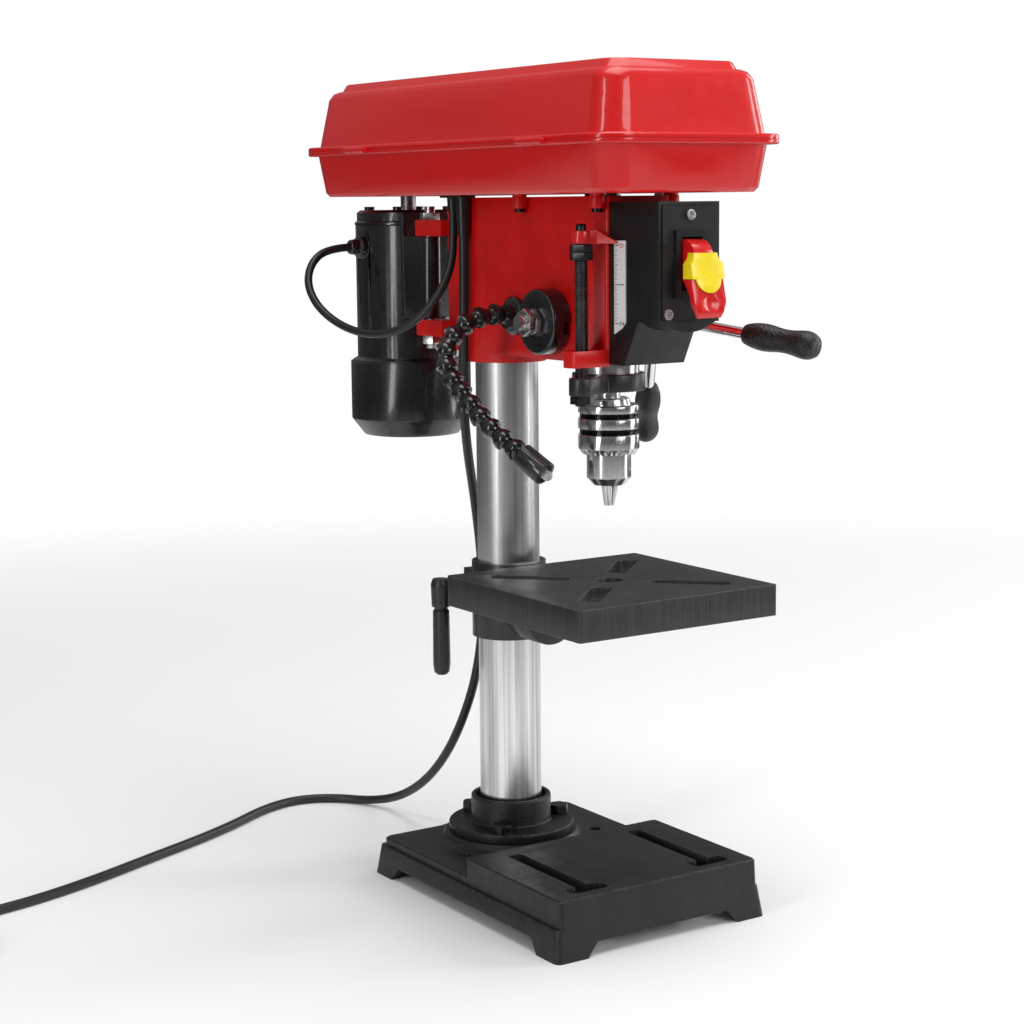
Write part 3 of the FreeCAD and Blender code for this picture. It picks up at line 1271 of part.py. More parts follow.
def belt_tray():
    outer = rounded_loft([cover_section(TRAY_LOW_INSET + 2.5, TRAY_LOW),
                          cover_section(TRAY_LOW_INSET, TRAY_LOW + 3),
                          cover_section(TRAY_HIGH_INSET, TRAY_RIM)])
    rim = rounded_loft([cover_section(0.6, TRAY_RIM), cover_section(0, TRAY_RIM + 1),
                        cover_section(0, RIM_SEAM - 0.1)])
    inner = rounded_loft([cover_section(TRAY_LOW_INSET, TRAY_LOW + COVER_WALL, COVER_WALL),
                          cover_section(TRAY_HIGH_INSET, RIM_SEAM + 1, COVER_WALL)])
    body = fuse([outer, rim]).cut(inner)
    bosses = [rod(5.0, vec(x, y, HEAD_TOP), Z, TRAY_LOW - HEAD_TOP + 1)
              for x, y in tray_ear_places()]
    body = fuse([body] + hinge_knuckles(False) + bosses)
    slot = fuse([rod(17, vec(x, MOTOR_Y + y, TRAY_LOW - 1), Z, 6) for x, y in
                 ((0, 0), (6, -3), (12, -6))])
    tools = [rod(SLEEVE_R + 2, vec(0, SPINDLE_Y, TRAY_LOW - 1), Z, 6), slot]
    for x, y in tray_ear_places():
        tools.append(rod(2.0 + SEAT, vec(x, y, HEAD_TOP - 1), Z, 8))
    for x, y in cord_places():
        tools.append(rod(CORD_R + 2, vec(x, y, TRAY_LOW - 1), Z, 6))
    body = cut(body, tools + hinge_relief(False))
    return fuse([body] + hinge_pins())


def lid_shell():
    rim = rounded_loft([cover_section(0, RIM_SEAM + 0.1), cover_section(0, LID_RIM_TOP - 1),
                        cover_section(0.8, LID_RIM_TOP)])
    outer = rounded_loft([cover_section(LID_LOW_INSET, LID_RIM_TOP - 1),
                          cover_section(LID_SHOULDER_INSET - 1.5, LID_SHOULDER - 6),
                          cover_section(LID_SHOULDER_INSET + 1.5, LID_SHOULDER - 1.5),
                          cover_section(LID_SHOULDER_INSET + 5, LID_SHOULDER)])
    plateau = rounded_loft([cover_section(PLATEAU_INSET - 3, LID_SHOULDER - 1),
                            cover_section(PLATEAU_INSET, LID_TOP - 1),
                            cover_section(PLATEAU_INSET + 1, LID_TOP)])
    inner = rounded_loft([cover_section(LID_LOW_INSET, RIM_SEAM - 1, COVER_WALL),
                          cover_section(LID_SHOULDER_INSET - 1.5, LID_SHOULDER - 7, COVER_WALL),
                          cover_section(LID_SHOULDER_INSET + 3, LID_SHOULDER - COVER_WALL,
                                        COVER_WALL)])
    top = rounded_loft([cover_section(PLATEAU_INSET, LID_SHOULDER - COVER_WALL - 1, COVER_WALL),
                        cover_section(PLATEAU_INSET, LID_TOP - COVER_WALL, COVER_WALL)])
    body = fuse([rim, outer, plateau])
    body = cut(body, [inner, top])
    body = fuse([body] + hinge_knuckles(True))
    return cut(body, hinge_bores() + hinge_relief(True))


def hinge_pins():
    return [rod(HINGE_PIN_R, vec(HINGE_X, place - HINGE_LENGTH / 2.0 + SEAT, RIM_SEAM), Y,
                HINGE_LENGTH - 2 * SEAT) for place in HINGE_PLACES]


def tray_screws():
    screws = []
    for x, y in tray_ear_places():
        head = rod(3.6, vec(x, y, HEAD_TOP - 10.5), Z, 2.5)
        shank = rod(2.0, vec(x, y, HEAD_TOP - 8.5), Z, 13)
        nut = hexagon(7.0, vec(x, y, TRAY_LOW + COVER_WALL), Z, 2.3)
        screws.append(fuse([head, shank, nut]))
    return screws


def cover_group():
    return {
        "belt_tray": belt_tray(),
        "lid_shell": lid_shell(),
        "head_screws": Part.makeCompound(head_set_screws() + housing_screws() + tray_screws()),
    }


# ------------------------------------------------------------ belt drive
def stepped_pulley(radii, centre_y, bore, length_below):
    centre = vec(0, centre_y, 0)
    profile = [(bore, PULLEY_LOW - length_below), (bore + 6, PULLEY_LOW - length_below),
               (bore + 6, PULLEY_LOW)]
    for index, radius in enumerate(radii):
        z = PULLEY_LOW + index * PULLEY_STEP
        root = radius - GROOVE_DEPTH
        profile += [(radius, z), (radius, z + 1.4), (root, z + 3.2),
                    (root, z + PULLEY_STEP - 3.2), (radius, z + PULLEY_STEP - 1.4),
                    (radius, z + PULLEY_STEP)]
    top = PULLEY_LOW + len(radii) * PULLEY_STEP
    profile += [(bore, top)]
    return turned(profile, centre)


def spindle_pulley():
    """Stepped pulley cast on its splined sleeve. Its hub stands on the bearings."""
    low = QUILL_CHAMBER_TOP + 2
    high = PULLEY_LOW + len(SPINDLE_STEPS) * PULLEY_STEP
    steps = stepped_pulley(SPINDLE_STEPS, SPINDLE_Y, SLEEVE_R - 1, 0.5)
    body = rod(SLEEVE_R, vec(0, SPINDLE_Y, low), Z, high - low)
    return fuse([body, steps]).cut(spline(0.15))


def sleeve_bearings():
    height = (HEAD_TOP - SLEEVE_BEARING_LOW) / 2.0 - SEAT
    rings = []
    for index in range(2):
        z = SLEEVE_BEARING_LOW + index * (height + SEAT)
        rings.append(ring(SLEEVE_BEARING_R, SLEEVE_R + RUNNING, vec(0, SPINDLE_Y, z), Z, height))
    return Part.makeCompound(rings)


def belt_path(spindle_r, motor_r, z):
    """Closed loop round both pulleys: two arcs and their outer tangents."""
    distance = MOTOR_Y - SPINDLE_Y
    lean = math.asin((spindle_r - motor_r) / distance)
    cos_l, sin_l = math.cos(lean), math.sin(lean)
    front = vec(0, SPINDLE_Y, z)
    rear = vec(0, MOTOR_Y, z)
    a = front + vec(spindle_r * cos_l, spindle_r * sin_l, 0)
    b = rear + vec(motor_r * cos_l, motor_r * sin_l, 0)
    c = rear + vec(-motor_r * cos_l, motor_r * sin_l, 0)
    d = front + vec(-spindle_r * cos_l, spindle_r * sin_l, 0)
    edges = [Part.LineSegment(a, b).toShape(), Part.Arc(b, rear + Y * motor_r, c).toShape(),
             Part.LineSegment(c, d).toShape(), Part.Arc(d, front - Y * spindle_r, a).toShape()]
    return Part.Wire(edges)


def drive_belt():
    """V belt in the middle step, narrower inside than outside."""
    middle = PULLEY_LOW + (BELT_STEP + 0.5) * PULLEY_STEP
    big = SPINDLE_STEPS[BELT_STEP]
    small = MOTOR_STEPS[BELT_STEP]
    layers = []
    for depth, half in ((0.2, BELT_HEIGHT / 2.0), (GROOVE_DEPTH - 1.2, BELT_HEIGHT / 2.0 - 2.0)):
        wires = [belt_path(big - depth, small - depth, middle + sign * half) for sign in (-1, 1)]
        layers.append(wires)
    outer = Part.makeLoft([layers[0][0], layers[0][1]], True, True)
    inner = Part.makeLoft([layers[1][0], layers[1][1]], True, True)
    lower = Part.makeLoft([layers[0][0], layers[1][0]], False, True)
    upper = Part.makeLoft([layers[0][1], layers[1][1]], False, True)
    faces = [face for face in outer.Faces if face.normalAt(0, 0).z ** 2 < 0.5]
    faces += [face for face in inner.Faces if face.normalAt(0, 0).z ** 2 < 0.5]
    shell = Part.makeShell(faces + lower.Faces + upper.Faces)
    shell.sewShape()
    solid = Part.makeSolid(shell)
    if solid.Volume < 0:
        solid.reverse()
    return solid


def drive_group():
    return {
        "spindle_pulley": spindle_pulley(),
        "sleeve_bearings": sleeve_bearings(),
        "drive_belt": drive_belt(),
        "motor_pulley": stepped_pulley(MOTOR_STEPS, MOTOR_Y, SHAFT_R + RUNNING, 0.5),
    }


# ------------------------------------------------------------- the motor
def motor_shell():
    centre = vec(0, MOTOR_Y, 0)
    body = turned([(0, MOTOR_LOW), (FAN_COVER_R - 1.8, MOTOR_LOW), (FAN_COVER_R - 1.8, MOTOR_LOW + 8),
                   (MOTOR_R, MOTOR_LOW + 10), (MOTOR_R, MOTOR_CAP_LOW), (0, MOTOR_CAP_LOW)], centre)
    inner = rod(MOTOR_R - MOTOR_WALL, vec(0, MOTOR_Y, MOTOR_LOW + 12), Z, 200)
    seat = rod(MOTOR_BEARING_R + SEAT / 2, vec(0, MOTOR_Y, MOTOR_LOW + 3), Z, 60)
    hole = rod(SHAFT_R + 2, vec(0, MOTOR_Y, MOTOR_LOW - 1), Z, 60)
    gland = turned([(0, 0), (8.5, 0), (8.5, 5), (6.5, 5.5), (5.5, GLAND_LENGTH - 1),
                    (4.3, GLAND_LENGTH), (0, GLAND_LENGTH)], vec(-MOTOR_R + 1, MOTOR_Y, GLAND_Z), -X)
    entry = rod(CABLE_R + RUNNING, vec(-MOTOR_R - 20, MOTOR_Y, GLAND_Z), X, 30)
    return cut(fuse([body, gland]), [inner, seat, hole, entry])


def motor_cap():
    centre = vec(0, MOTOR_Y, 0)
    body = turned([(0, MOTOR_CAP_LOW), (MOTOR_R + 0.6, MOTOR_CAP_LOW),
                   (MOTOR_R + 0.6, MOTOR_CAP_LOW + 2), (MOTOR_R - 1.2, MOTOR_CAP_LOW + 3),
                   (MOTOR_R - 1.2, MOTOR_TOP - 2), (MOTOR_R - 4, MOTOR_TOP), (0, MOTOR_TOP)], centre)
    seat = rod(MOTOR_BEARING_R + SEAT / 2, vec(0, MOTOR_Y, MOTOR_CAP_LOW - 1), Z, 9)
    hole = rod(SHAFT_R + 2, vec(0, MOTOR_Y, MOTOR_CAP_LOW - 1), Z, 20)
    heads = []
    for angle in (45.0, 135.0, 225.0, 315.0):
        foot = radial(MOTOR_R - 10, angle, 0, MOTOR_Y, MOTOR_TOP - 1)
        slot = box(-0.5, 0.5, -5, 5, MOTOR_TOP + 1.8, MOTOR_TOP + 4)
        slot.translate(vec(foot.x, foot.y, 0))
        heads.append(rod(4.0, foot, Z, 3.6).cut(slot))
    return fuse([cut(body, [seat, hole])] + heads)


def fan_cover():
    centre = vec(0, MOTOR_Y, 0)
    low = FAN_COVER_LOW
    bend = FAN_COVER_LOW + FAN_COVER_CHAMFER
    wall = 1.5
    body = turned([(0, low), (FAN_COVER_R - 10, low), (FAN_COVER_R, bend), (FAN_COVER_R, FAN_COVER_TOP),
                   (FAN_COVER_R - wall, FAN_COVER_TOP), (FAN_COVER_R - wall, bend + 0.5),
                   (FAN_COVER_R - 10 - wall / 2, low + wall), (0, low + wall)], centre)
    tools = []
    for index in range(12):
        slot = box(12, 32, -2.0, 2.0, low - 1, low + wall + 1)
        slot.rotate(vec(0, 0, 0), Z, 30.0 * index)
        slot.translate(centre)
        tools.append(slot)
    return body.cut(Part.makeCompound(tools))


def cooling_fan():
    hub = ring(14, SHAFT_R + RUNNING, vec(0, MOTOR_Y, FAN_COVER_LOW + 12), Z, 16)
    shapes = [hub]
    for index in range(8):
        blade = box(12, 38, -0.9, 0.9, FAN_COVER_LOW + 14, FAN_COVER_LOW + 28)
        blade.rotate(vec(12, 0, FAN_COVER_LOW + 21), X, 25)
        blade.rotate(vec(0, 0, 0), Z, 45.0 * index)
        blade.translate(vec(0, MOTOR_Y, 0))
        shapes.append(blade)
    return fuse(shapes).cut(rod(SHAFT_R + RUNNING, vec(0, MOTOR_Y, FAN_COVER_LOW), Z, 60))


def motor_rotor():
    centre = vec(0, MOTOR_Y, 0)
    top = PULLEY_LOW + len(MOTOR_STEPS) * PULLEY_STEP - 1
    return turned([(0, FAN_COVER_LOW + 8), (SHAFT_R, FAN_COVER_LOW + 8), (SHAFT_R, 395), (8, 396),
                   (8, 402), (27, 402), (27, 452), (8, 452), (8, 480), (SHAFT_R, 481),
                   (SHAFT_R, top), (0, top)], centre)


def motor_stator():
    return ring(MOTOR_R - MOTOR_WALL - SEAT, 27.6, vec(0, MOTOR_Y, 398), Z, 58)


def motor_bearings():
    return Part.makeCompound([
        ring(MOTOR_BEARING_R, SHAFT_R + RUNNING, vec(0, MOTOR_Y, MOTOR_LOW + 3), Z, 9),
        ring(MOTOR_BEARING_R, SHAFT_R + RUNNING, vec(0, MOTOR_Y, MOTOR_CAP_LOW - 0.9), Z, 8.7)])


def motor_bracket():
    """Plate welded to a saddle on the shell, with a hinge tube between the ears."""
    low = LOWER_EAR_LOW + MOTOR_EAR_THICK + 0.6
    high = UPPER_EAR_LOW - 0.6
    y0 = MOTOR_PLATE_Y
    plate = box(-36, 30, y0, y0 + MOTOR_PLATE_THICK, low, MOTOR_TOP - 2)
    saddle = box(-22, 22, y0 + MOTOR_PLATE_THICK, MOTOR_Y, low + 6, MOTOR_CAP_LOW - 6)
    saddle = saddle.cut(rod(MOTOR_R, vec(0, MOTOR_Y, low), Z, 100))
    saddle = saddle.cut(box(-40, 40, MOTOR_Y - 30, MOTOR_Y + 10, 0, 600))
    tube = rod(7.5, vec(PIVOT_X, PIVOT_Y, low), Z, high - low)
    web = box(PIVOT_X - 7.5, PIVOT_X - 3.5, PIVOT_Y, y0 + 1, low, high)
    bore = rod(PIVOT_R + RUNNING, vec(PIVOT_X, PIVOT_Y, low - 1), Z, high - low + 2)
    return fuse([plate, saddle, tube, web]).cut(bore)


def pivot_bolt():
    low = LOWER_EAR_LOW - 6
    high = UPPER_EAR_LOW + MOTOR_EAR_THICK
    shank = rod(PIVOT_R, vec(PIVOT_X, PIVOT_Y, low - 4), Z, high - low + 14)
    head = hexagon(HEX_M8, vec(PIVOT_X, PIVOT_Y, high), Z, HEX_M8_HEIGHT, 20)
    nut = hexagon(HEX_M8, vec(PIVOT_X, PIVOT_Y, LOWER_EAR_LOW - 6.5), Z, 6.5, 5)
    return fuse([shank, head, nut])


def motor_group():
    return {
        "motor_shell": motor_shell(),
        "motor_cap": motor_cap(),
        "fan_cover": fan_cover(),
        "cooling_fan": cooling_fan(),
        "motor_rotor": motor_rotor(),
        "motor_stator": motor_stator(),
        "motor_bearings": motor_bearings(),
        "motor_bracket": motor_bracket(),
        "pivot_bolt": pivot_bolt(),
    }


# -------------------------------------------------------------- the lamp
LAMP_ROUTE = (
    (-HEAD_HALF - 8, LAMP_Y, LAMP_Z), (-45, -27, 423), (-56, -26, 421.5), (-67, -24.5, 417),
    (-76, -23, 409.5), (-82, -23, 400), (-84.5, -27, 389), (-84, -35, 379.5), (-82, -45, 370),
    (-79, -58, 358), (-73, -72, 345.5), (-67, -87, 335),
)
LAMP_SPLITS = (7,)


def lamp_joints():
    """Ball centres at an even pitch along the neck's smooth centre line."""
    curve = Part.BSplineCurve()
    curve.interpolate([vec(*point) for point in LAMP_ROUTE])
    length = curve.toShape().Length
    count = int(length / LAMP_PITCH)
    points = curve.toShape().discretize(Number=count + 1)
    return points


def lamp_segment(start, end):
    """One link: a ball at its start, a cup round the next ball at its end."""
    axis = end - start
    length = axis.Length
    axis.normalize()
    ball = Part.makeSphere(BALL_R, start)
    neck = Part.makeCone(LAMP_NECK_R, LAMP_FLARE_R, length - 3.2, start, axis)
    cup = Part.makeSphere(CUP_R, end)
    keep = rod(20, start - axis * 10, axis, length + 10 + 1.0)
    cavity = Part.makeSphere(BALL_R + CUP_CLEAR, end)
    wires = rod(1.5, start - axis * 10, axis, length + 20)
    return cut(fuse([ball, neck, cup]).common(keep), [cavity, wires])


def lamp_base():
    axis = vec(-HEAD_HALF, LAMP_Y, LAMP_Z)
    flange = turned([(0, 0), (LAMP_BASE_R, 0), (LAMP_BASE_R, 3.5), (LAMP_BASE_R - 2, 5.0),
                     (7.2, 6.0), (7.2, 8.0), (0, 8.0)], axis, -X)
    ball_centre = vec(*LAMP_ROUTE[0])
    cup = Part.makeSphere(CUP_R + 1.0, ball_centre)
    keep = rod(30, axis, -X, 8.0 + 1.0)
    cavity = Part.makeSphere(BALL_R + CUP_CLEAR, ball_centre)
    return fuse([flange, cup]).common(keep).cut(cavity)


def lamp_head(points):
    axis = points[-1] - points[-2]
    axis.normalize()
    start = points[-1]
    ball = Part.makeSphere(BALL_R, start)
    neck = rod(LAMP_NECK_R, start, axis, 6.5)
    body = placed(Part.makeCylinder(LAMP_HEAD_R, LAMP_HEAD_LENGTH), start + axis * 6.2, axis)
    ribs = []
    for index in range(24):
        angle = math.radians(15.0 * index)
        groove = rod(0.45, vec(LAMP_HEAD_R * math.cos(angle), LAMP_HEAD_R * math.sin(angle), -1), Z,
                     LAMP_HEAD_LENGTH + 2)
        ribs.append(groove)
    grooves = placed(Part.makeCompound(ribs), start + axis * 6.2, axis)
    mouth = rod(3.2 + RUNNING, start + axis * (6.2 + LAMP_HEAD_LENGTH - 8), axis, 20)
    wires = rod(1.5, start - axis * 10, axis, 60)
    return cut(fuse([ball, neck, body]), [grooves, mouth, wires])


def lamp_lens(points):
    axis = points[-1] - points[-2]
    axis.normalize()
    end = points[-1] + axis * (6.2 + LAMP_HEAD_LENGTH)
    stem = rod(3.2, end - axis * 8, axis, 10)
    return fuse([stem, Part.makeSphere(3.6, end + axis * 2)])


def lamp_group():
    points = lamp_joints()
    bends = []
    for before, here, after in zip(points[:-2], points[1:-1], points[2:]):
        bends.append(round(math.degrees((here - before).getAngle(after - here)), 1))
    print("lamp bends", bends)
    links = [lamp_segment(first, second) for first, second in zip(points[:-1], points[1:])]
    stops = (0,) + LAMP_SPLITS + (len(links),)
    pieces = {"lamp_base": lamp_base()}
    for index, (low, high) in enumerate(zip(stops[:-1], stops[1:])):
        pieces["lamp_neck_%d" % (index + 1)] = Part.makeCompound(links[low:high])
    pieces["lamp_head"] = lamp_head(points)
    pieces["lamp_lens"] = lamp_lens(points)
    for index in stops[:-1] + (len(links),):
        point = points[index]
        print("lamp joint", index, round(point.x, 2), round(point.y, 2), round(point.z, 2))
    return pieces


# ------------------------------------------------------------- the cords
def cord_places():
    """Where the power cord and the motor cable leave the tray."""
    return [(-34.0, COLUMN_Y + 3.0), (-36.0, COLUMN_Y + 13.5)]


STRAIN_LENGTH = 28.0
FLOOR_Z = CORD_R + FLOOR_CLEAR
POWER_ROUTE = (
    (-34, 30, TRAY_LOW - 1 - STRAIN_LENGTH), (-34, 30, 440), (-33.5, 33, 396), (-28, 43, 356),
    (-14, 61, 318), (3, 79, 280), (14, 87, 230), (17, 90, 182), (14, 96, 136),
    (10, 112, 96), (8, 136, 62), (7, 168, 34), (5, 206, 13), (-4, 240, FLOOR_Z),
    (-24, 266, FLOOR_Z), (-54, 279, FLOOR_Z), (-90, 268, FLOOR_Z), (-128, 243, FLOOR_Z),
    (-172, 220, FLOOR_Z), (-222, 198, FLOOR_Z), (-276, 173, FLOOR_Z), (-325, 155, FLOOR_Z),
    (-366, 146, FLOOR_Z), (-404, 140, FLOOR_Z),
)
CABLE_ROUTE = (
    (-MOTOR_R + 1 - GLAND_LENGTH, MOTOR_Y, GLAND_Z), (-72, 166.5, 466.5), (-87, 164, 457),
    (-95, 157, 442), (-95, 145, 427), (-90, 129, 415), (-83, 109, 407), (-75, 88, 404.5),
    (-67, 69, 408), (-58, 53, 418), (-49, 43, 433), (-40.5, 39.5, 450), (-36, 40.5, 469),
    (-36, 40.5, TRAY_LOW - 1 - 10),
)
COIL_LEAD = 40.0
PLUG_LEAD = 38.0
COIL_OUT_R = 48.0
COIL_IN_R = 30.0
COIL_HEIGHT = 16.0
PLUG_Z = 12.1
PLUG_RELIEF = 22.0


def cord_tube(route, radius):
    """Round tube along straight runs joined by tangent arcs."""
    points = [vec(*point) for point in route]
    edges = []
    radii = []
    here = points[0]
    for before, corner, after in zip(points[:-2], points[1:-1], points[2:]):
        into = corner - before
        out = after - corner
        turn = into.getAngle(out)
        reach = 0.45 * min(into.Length, out.Length)
        bend = reach / math.tan(turn / 2.0)
        radii.append(round(bend, 1))
        into.normalize()
        out.normalize()
        start = corner - into * reach
        end = corner + out * reach
        bisector = out - into
        bisector.normalize()
        centre = corner + bisector * (bend / math.cos(turn / 2.0))
        middle = centre - bisector * bend
        edges.append(Part.LineSegment(here, start).toShape())
        edges.append(Part.Arc(start, middle, end).toShape())
        here = end
    edges.append(Part.LineSegment(here, points[-1]).toShape())
    path = Part.Wire(edges)
    direction = points[1] - points[0]
    section = Part.Wire([Part.Circle(points[0], direction, radius).toShape()])
    tube = path.makePipeShell([section], True, True)
    share = tube.Volume / (math.pi * radius * radius * path.Length)
    print("cord length", round(path.Length, 1), "volume share", round(share, 4),
          "radii", radii)
    return tube


def cord_grip():
    """Black plate under the tray with the two tapered cord exits."""
    top = TRAY_LOW - SEAT
    (px, py), (mx, my) = cord_places()
    plate = rounded_slab(px - 9, px + 7.9, py - 9, my + 9, top - 1.6, top, 3.0)
    power = turned([(0, -STRAIN_LENGTH), (CORD_R + 0.9, -STRAIN_LENGTH), (5.6, -3), (5.6, 0), (0, 0)],
                   vec(px, py, top - 0.9))
    motor = turned([(0, -10), (CABLE_R + 0.9, -10), (4.4, -2), (4.4, 0), (0, 0)],
                   vec(mx, my, top - 0.9))
    body = fuse([plate, power, motor])
    body = body.common(box(-200, -HEAD_BOSS_R - 0.2, -50, 150, 0, 600))
    return body


def coil_centre():
    """Centre of the coil that the cord's last run meets as a tangent."""
    last = vec(*POWER_ROUTE[-1])
    along = last - vec(*POWER_ROUTE[-2])
    along.normalize()
    inward = vec(-along.y, along.x, 0)
    centre = last + along * COIL_LEAD + inward * (COIL_OUT_R - CORD_R)
    return centre, last, along


def cord_coil():
    """Wound cord as one ring, with its lead from the cord and its lead to the plug."""
    centre, last, along = coil_centre()
    x, y = centre.x, centre.y
    profile = [(COIL_IN_R, FLOOR_CLEAR + 2), (COIL_IN_R + 2, FLOOR_CLEAR),
               (COIL_OUT_R - 2, FLOOR_CLEAR), (COIL_OUT_R, FLOOR_CLEAR + 2),
               (COIL_OUT_R, COIL_HEIGHT - 2), (COIL_OUT_R - 2, COIL_HEIGHT),
               (COIL_IN_R + 2, COIL_HEIGHT), (COIL_IN_R, COIL_HEIGHT - 2)]
    body = turned(profile, vec(x, y, 0))
    lead = rod(CORD_R, last, along, COIL_LEAD)
    tail = rod(CORD_R, vec(x - COIL_OUT_R + CORD_R, y, PLUG_Z), -Y, PLUG_LEAD)
    return fuse([body, lead, tail])


def power_plug():
    """Moulded two-blade earthed plug lying on the floor beside the coil."""
    centre = coil_centre()[0]
    foot = vec(centre.x - COIL_OUT_R + CORD_R, centre.y - PLUG_LEAD - PLUG_RELIEF, PLUG_Z)
    body = rounded_loft([(-8, 8, -6, 6, 0, 4), (-12, 12, -11, 11, 8, 6),
                         (-12.5, 12.5, -12, 12, 26, 6)])
    relief = turned([(0, -PLUG_RELIEF), (CORD_R + 0.9, -PLUG_RELIEF), (6, 1), (0, 1)], vec(0, 0, 0))
    pins = [box(side * 6.35 - 0.75, side * 6.35 + 0.75, -3.15, 3.15, 25, 44) for side in (-1, 1)]
    earth = rod(2.4, vec(0, -8, 25), Z, 21)
    return placed(fuse([body, relief, earth] + pins), foot, -Y)


def cord_group():
    return {
        "cord_grip": cord_grip(),
        "power_cord": cord_tube(POWER_ROUTE, CORD_R),
        "motor_cable": cord_tube(CABLE_ROUTE, CABLE_R),
        "cord_coil": cord_coil(),
        "power_plug": power_plug(),
    }


def main():
    for group in (stand, table_group, head_group, quill_group, depth_group, feed_group,
                  cover_group, drive_group, motor_group, lamp_group, cord_group):
        save_all(group())


main()
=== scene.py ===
import bpy, bmesh, math
from mathutils import Vector, Matrix


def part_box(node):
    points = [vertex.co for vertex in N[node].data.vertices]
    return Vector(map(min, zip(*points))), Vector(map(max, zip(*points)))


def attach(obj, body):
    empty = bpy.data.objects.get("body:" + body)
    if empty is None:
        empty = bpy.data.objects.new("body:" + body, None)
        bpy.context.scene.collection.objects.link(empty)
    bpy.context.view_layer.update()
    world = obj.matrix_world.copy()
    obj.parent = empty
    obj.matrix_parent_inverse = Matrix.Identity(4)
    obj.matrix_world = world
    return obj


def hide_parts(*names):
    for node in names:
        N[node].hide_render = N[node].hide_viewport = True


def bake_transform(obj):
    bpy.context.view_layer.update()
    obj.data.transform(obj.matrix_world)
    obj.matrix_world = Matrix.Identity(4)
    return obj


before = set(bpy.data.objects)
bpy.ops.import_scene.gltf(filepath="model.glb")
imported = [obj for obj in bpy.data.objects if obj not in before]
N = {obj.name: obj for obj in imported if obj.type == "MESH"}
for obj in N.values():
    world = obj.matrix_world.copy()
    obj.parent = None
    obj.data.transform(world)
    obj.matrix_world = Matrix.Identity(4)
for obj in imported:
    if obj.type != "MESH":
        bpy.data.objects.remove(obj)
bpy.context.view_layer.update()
scene = bpy.context.scene
MM = 0.001

# the spindle's place, in metres, the same value as in the solid model
SPINDLE_Y = -0.101


# ---------------------------------------------------------------- node kit
def link(obj):
    scene.collection.objects.link(obj)
    return obj


def node(nt, kind, **inputs):
    """Adds a shader node; settings by attribute name, sockets by name with _ for space."""
    n = nt.nodes.new(kind)
    for key, value in inputs.items():
        if hasattr(n, key):
            setattr(n, key, value)
            continue
        numbered = key[0] == "i" and key[1:].isdigit()
        socket = n.inputs[int(key[1:]) if numbered else key.replace("_", " ")]
        if isinstance(value, bpy.types.NodeSocket):
            nt.links.new(value, socket)
        else:
            socket.default_value = value
    return n


def place(nt):
    return node(nt, "ShaderNodeTexCoord").outputs["Object"]


def stretched(nt, scale):
    m = node(nt, "ShaderNodeMapping", Vector=place(nt))
    m.inputs["Scale"].default_value = scale
    return m.outputs["Vector"]


def noise(nt, scale, detail=3.0, rough=0.5, vector=None):
    n = node(nt, "ShaderNodeTexNoise", Vector=vector or place(nt), Scale=scale, Detail=detail,
             Roughness=rough)
    return n.outputs["Fac"]


def math_node(nt, op, a, b=None, clamp=False):
    n = nt.nodes.new("ShaderNodeMath")
    n.operation = op
    n.use_clamp = clamp
    for socket, value in zip(n.inputs, (a, b)):
        if value is None:
            continue
        if isinstance(value, bpy.types.NodeSocket):
            nt.links.new(value, socket)
        else:
            socket.default_value = value
    return n.outputs[0]


def remap(nt, value, a, b, c, d):
    n = node(nt, "ShaderNodeMapRange", Value=value)
    for key, v in zip(("From Min", "From Max", "To Min", "To Max"), (a, b, c, d)):
        n.inputs[key].default_value = v
    return n.outputs[0]


def mix(nt, fac, a, b):
    n = nt.nodes.new("ShaderNodeMix")
    n.data_type = "RGBA"
    for socket, value in ((n.inputs[0], fac), (n.inputs[6], a), (n.inputs[7], b)):
        if isinstance(value, bpy.types.NodeSocket):
            nt.links.new(value, socket)
        elif isinstance(value, (int, float)):
            socket.default_value = value
        else:
            socket.default_value = (*value, 1.0)
    return n.outputs[2]


def xyz(nt, vector=None):
    return node(nt, "ShaderNodeSeparateXYZ", Vector=vector or place(nt)).outputs


def band(nt, value, low, high, soft):
    """1 where value lies between low and high, with soft edges."""
    up = remap(nt, value, low - soft, low + soft, 0.0, 1.0)
    down = remap(nt, value, high - soft, high + soft, 1.0, 0.0)
    return math_node(nt, "MULTIPLY", up, down)


def bump(nt, shader, height, strength, distance, base=None):
    b = node(nt, "ShaderNodeBump", Height=height, Strength=strength, Distance=distance)
    if base is not None:
        nt.links.new(base, b.inputs["Normal"])
    nt.links.new(b.outputs["Normal"], shader.inputs["Normal"])
    return b.outputs["Normal"]


def tint(colour, k):
    return tuple(min(1.0, c * k) for c in colour)


def edge_mask(nt, radius=0.0012):
    """Brighter where an outer edge is near, for worn or thin paint."""
    soft = node(nt, "ShaderNodeBevel", samples=4, Radius=radius).outputs[0]
    hard = node(nt, "ShaderNodeNewGeometry").outputs["Normal"]
    dot = node(nt, "ShaderNodeVectorMath", operation="DOT_PRODUCT", i0=soft, i1=hard).outputs["Value"]
    return remap(nt, dot, 0.995, 0.93, 0.0, 1.0)


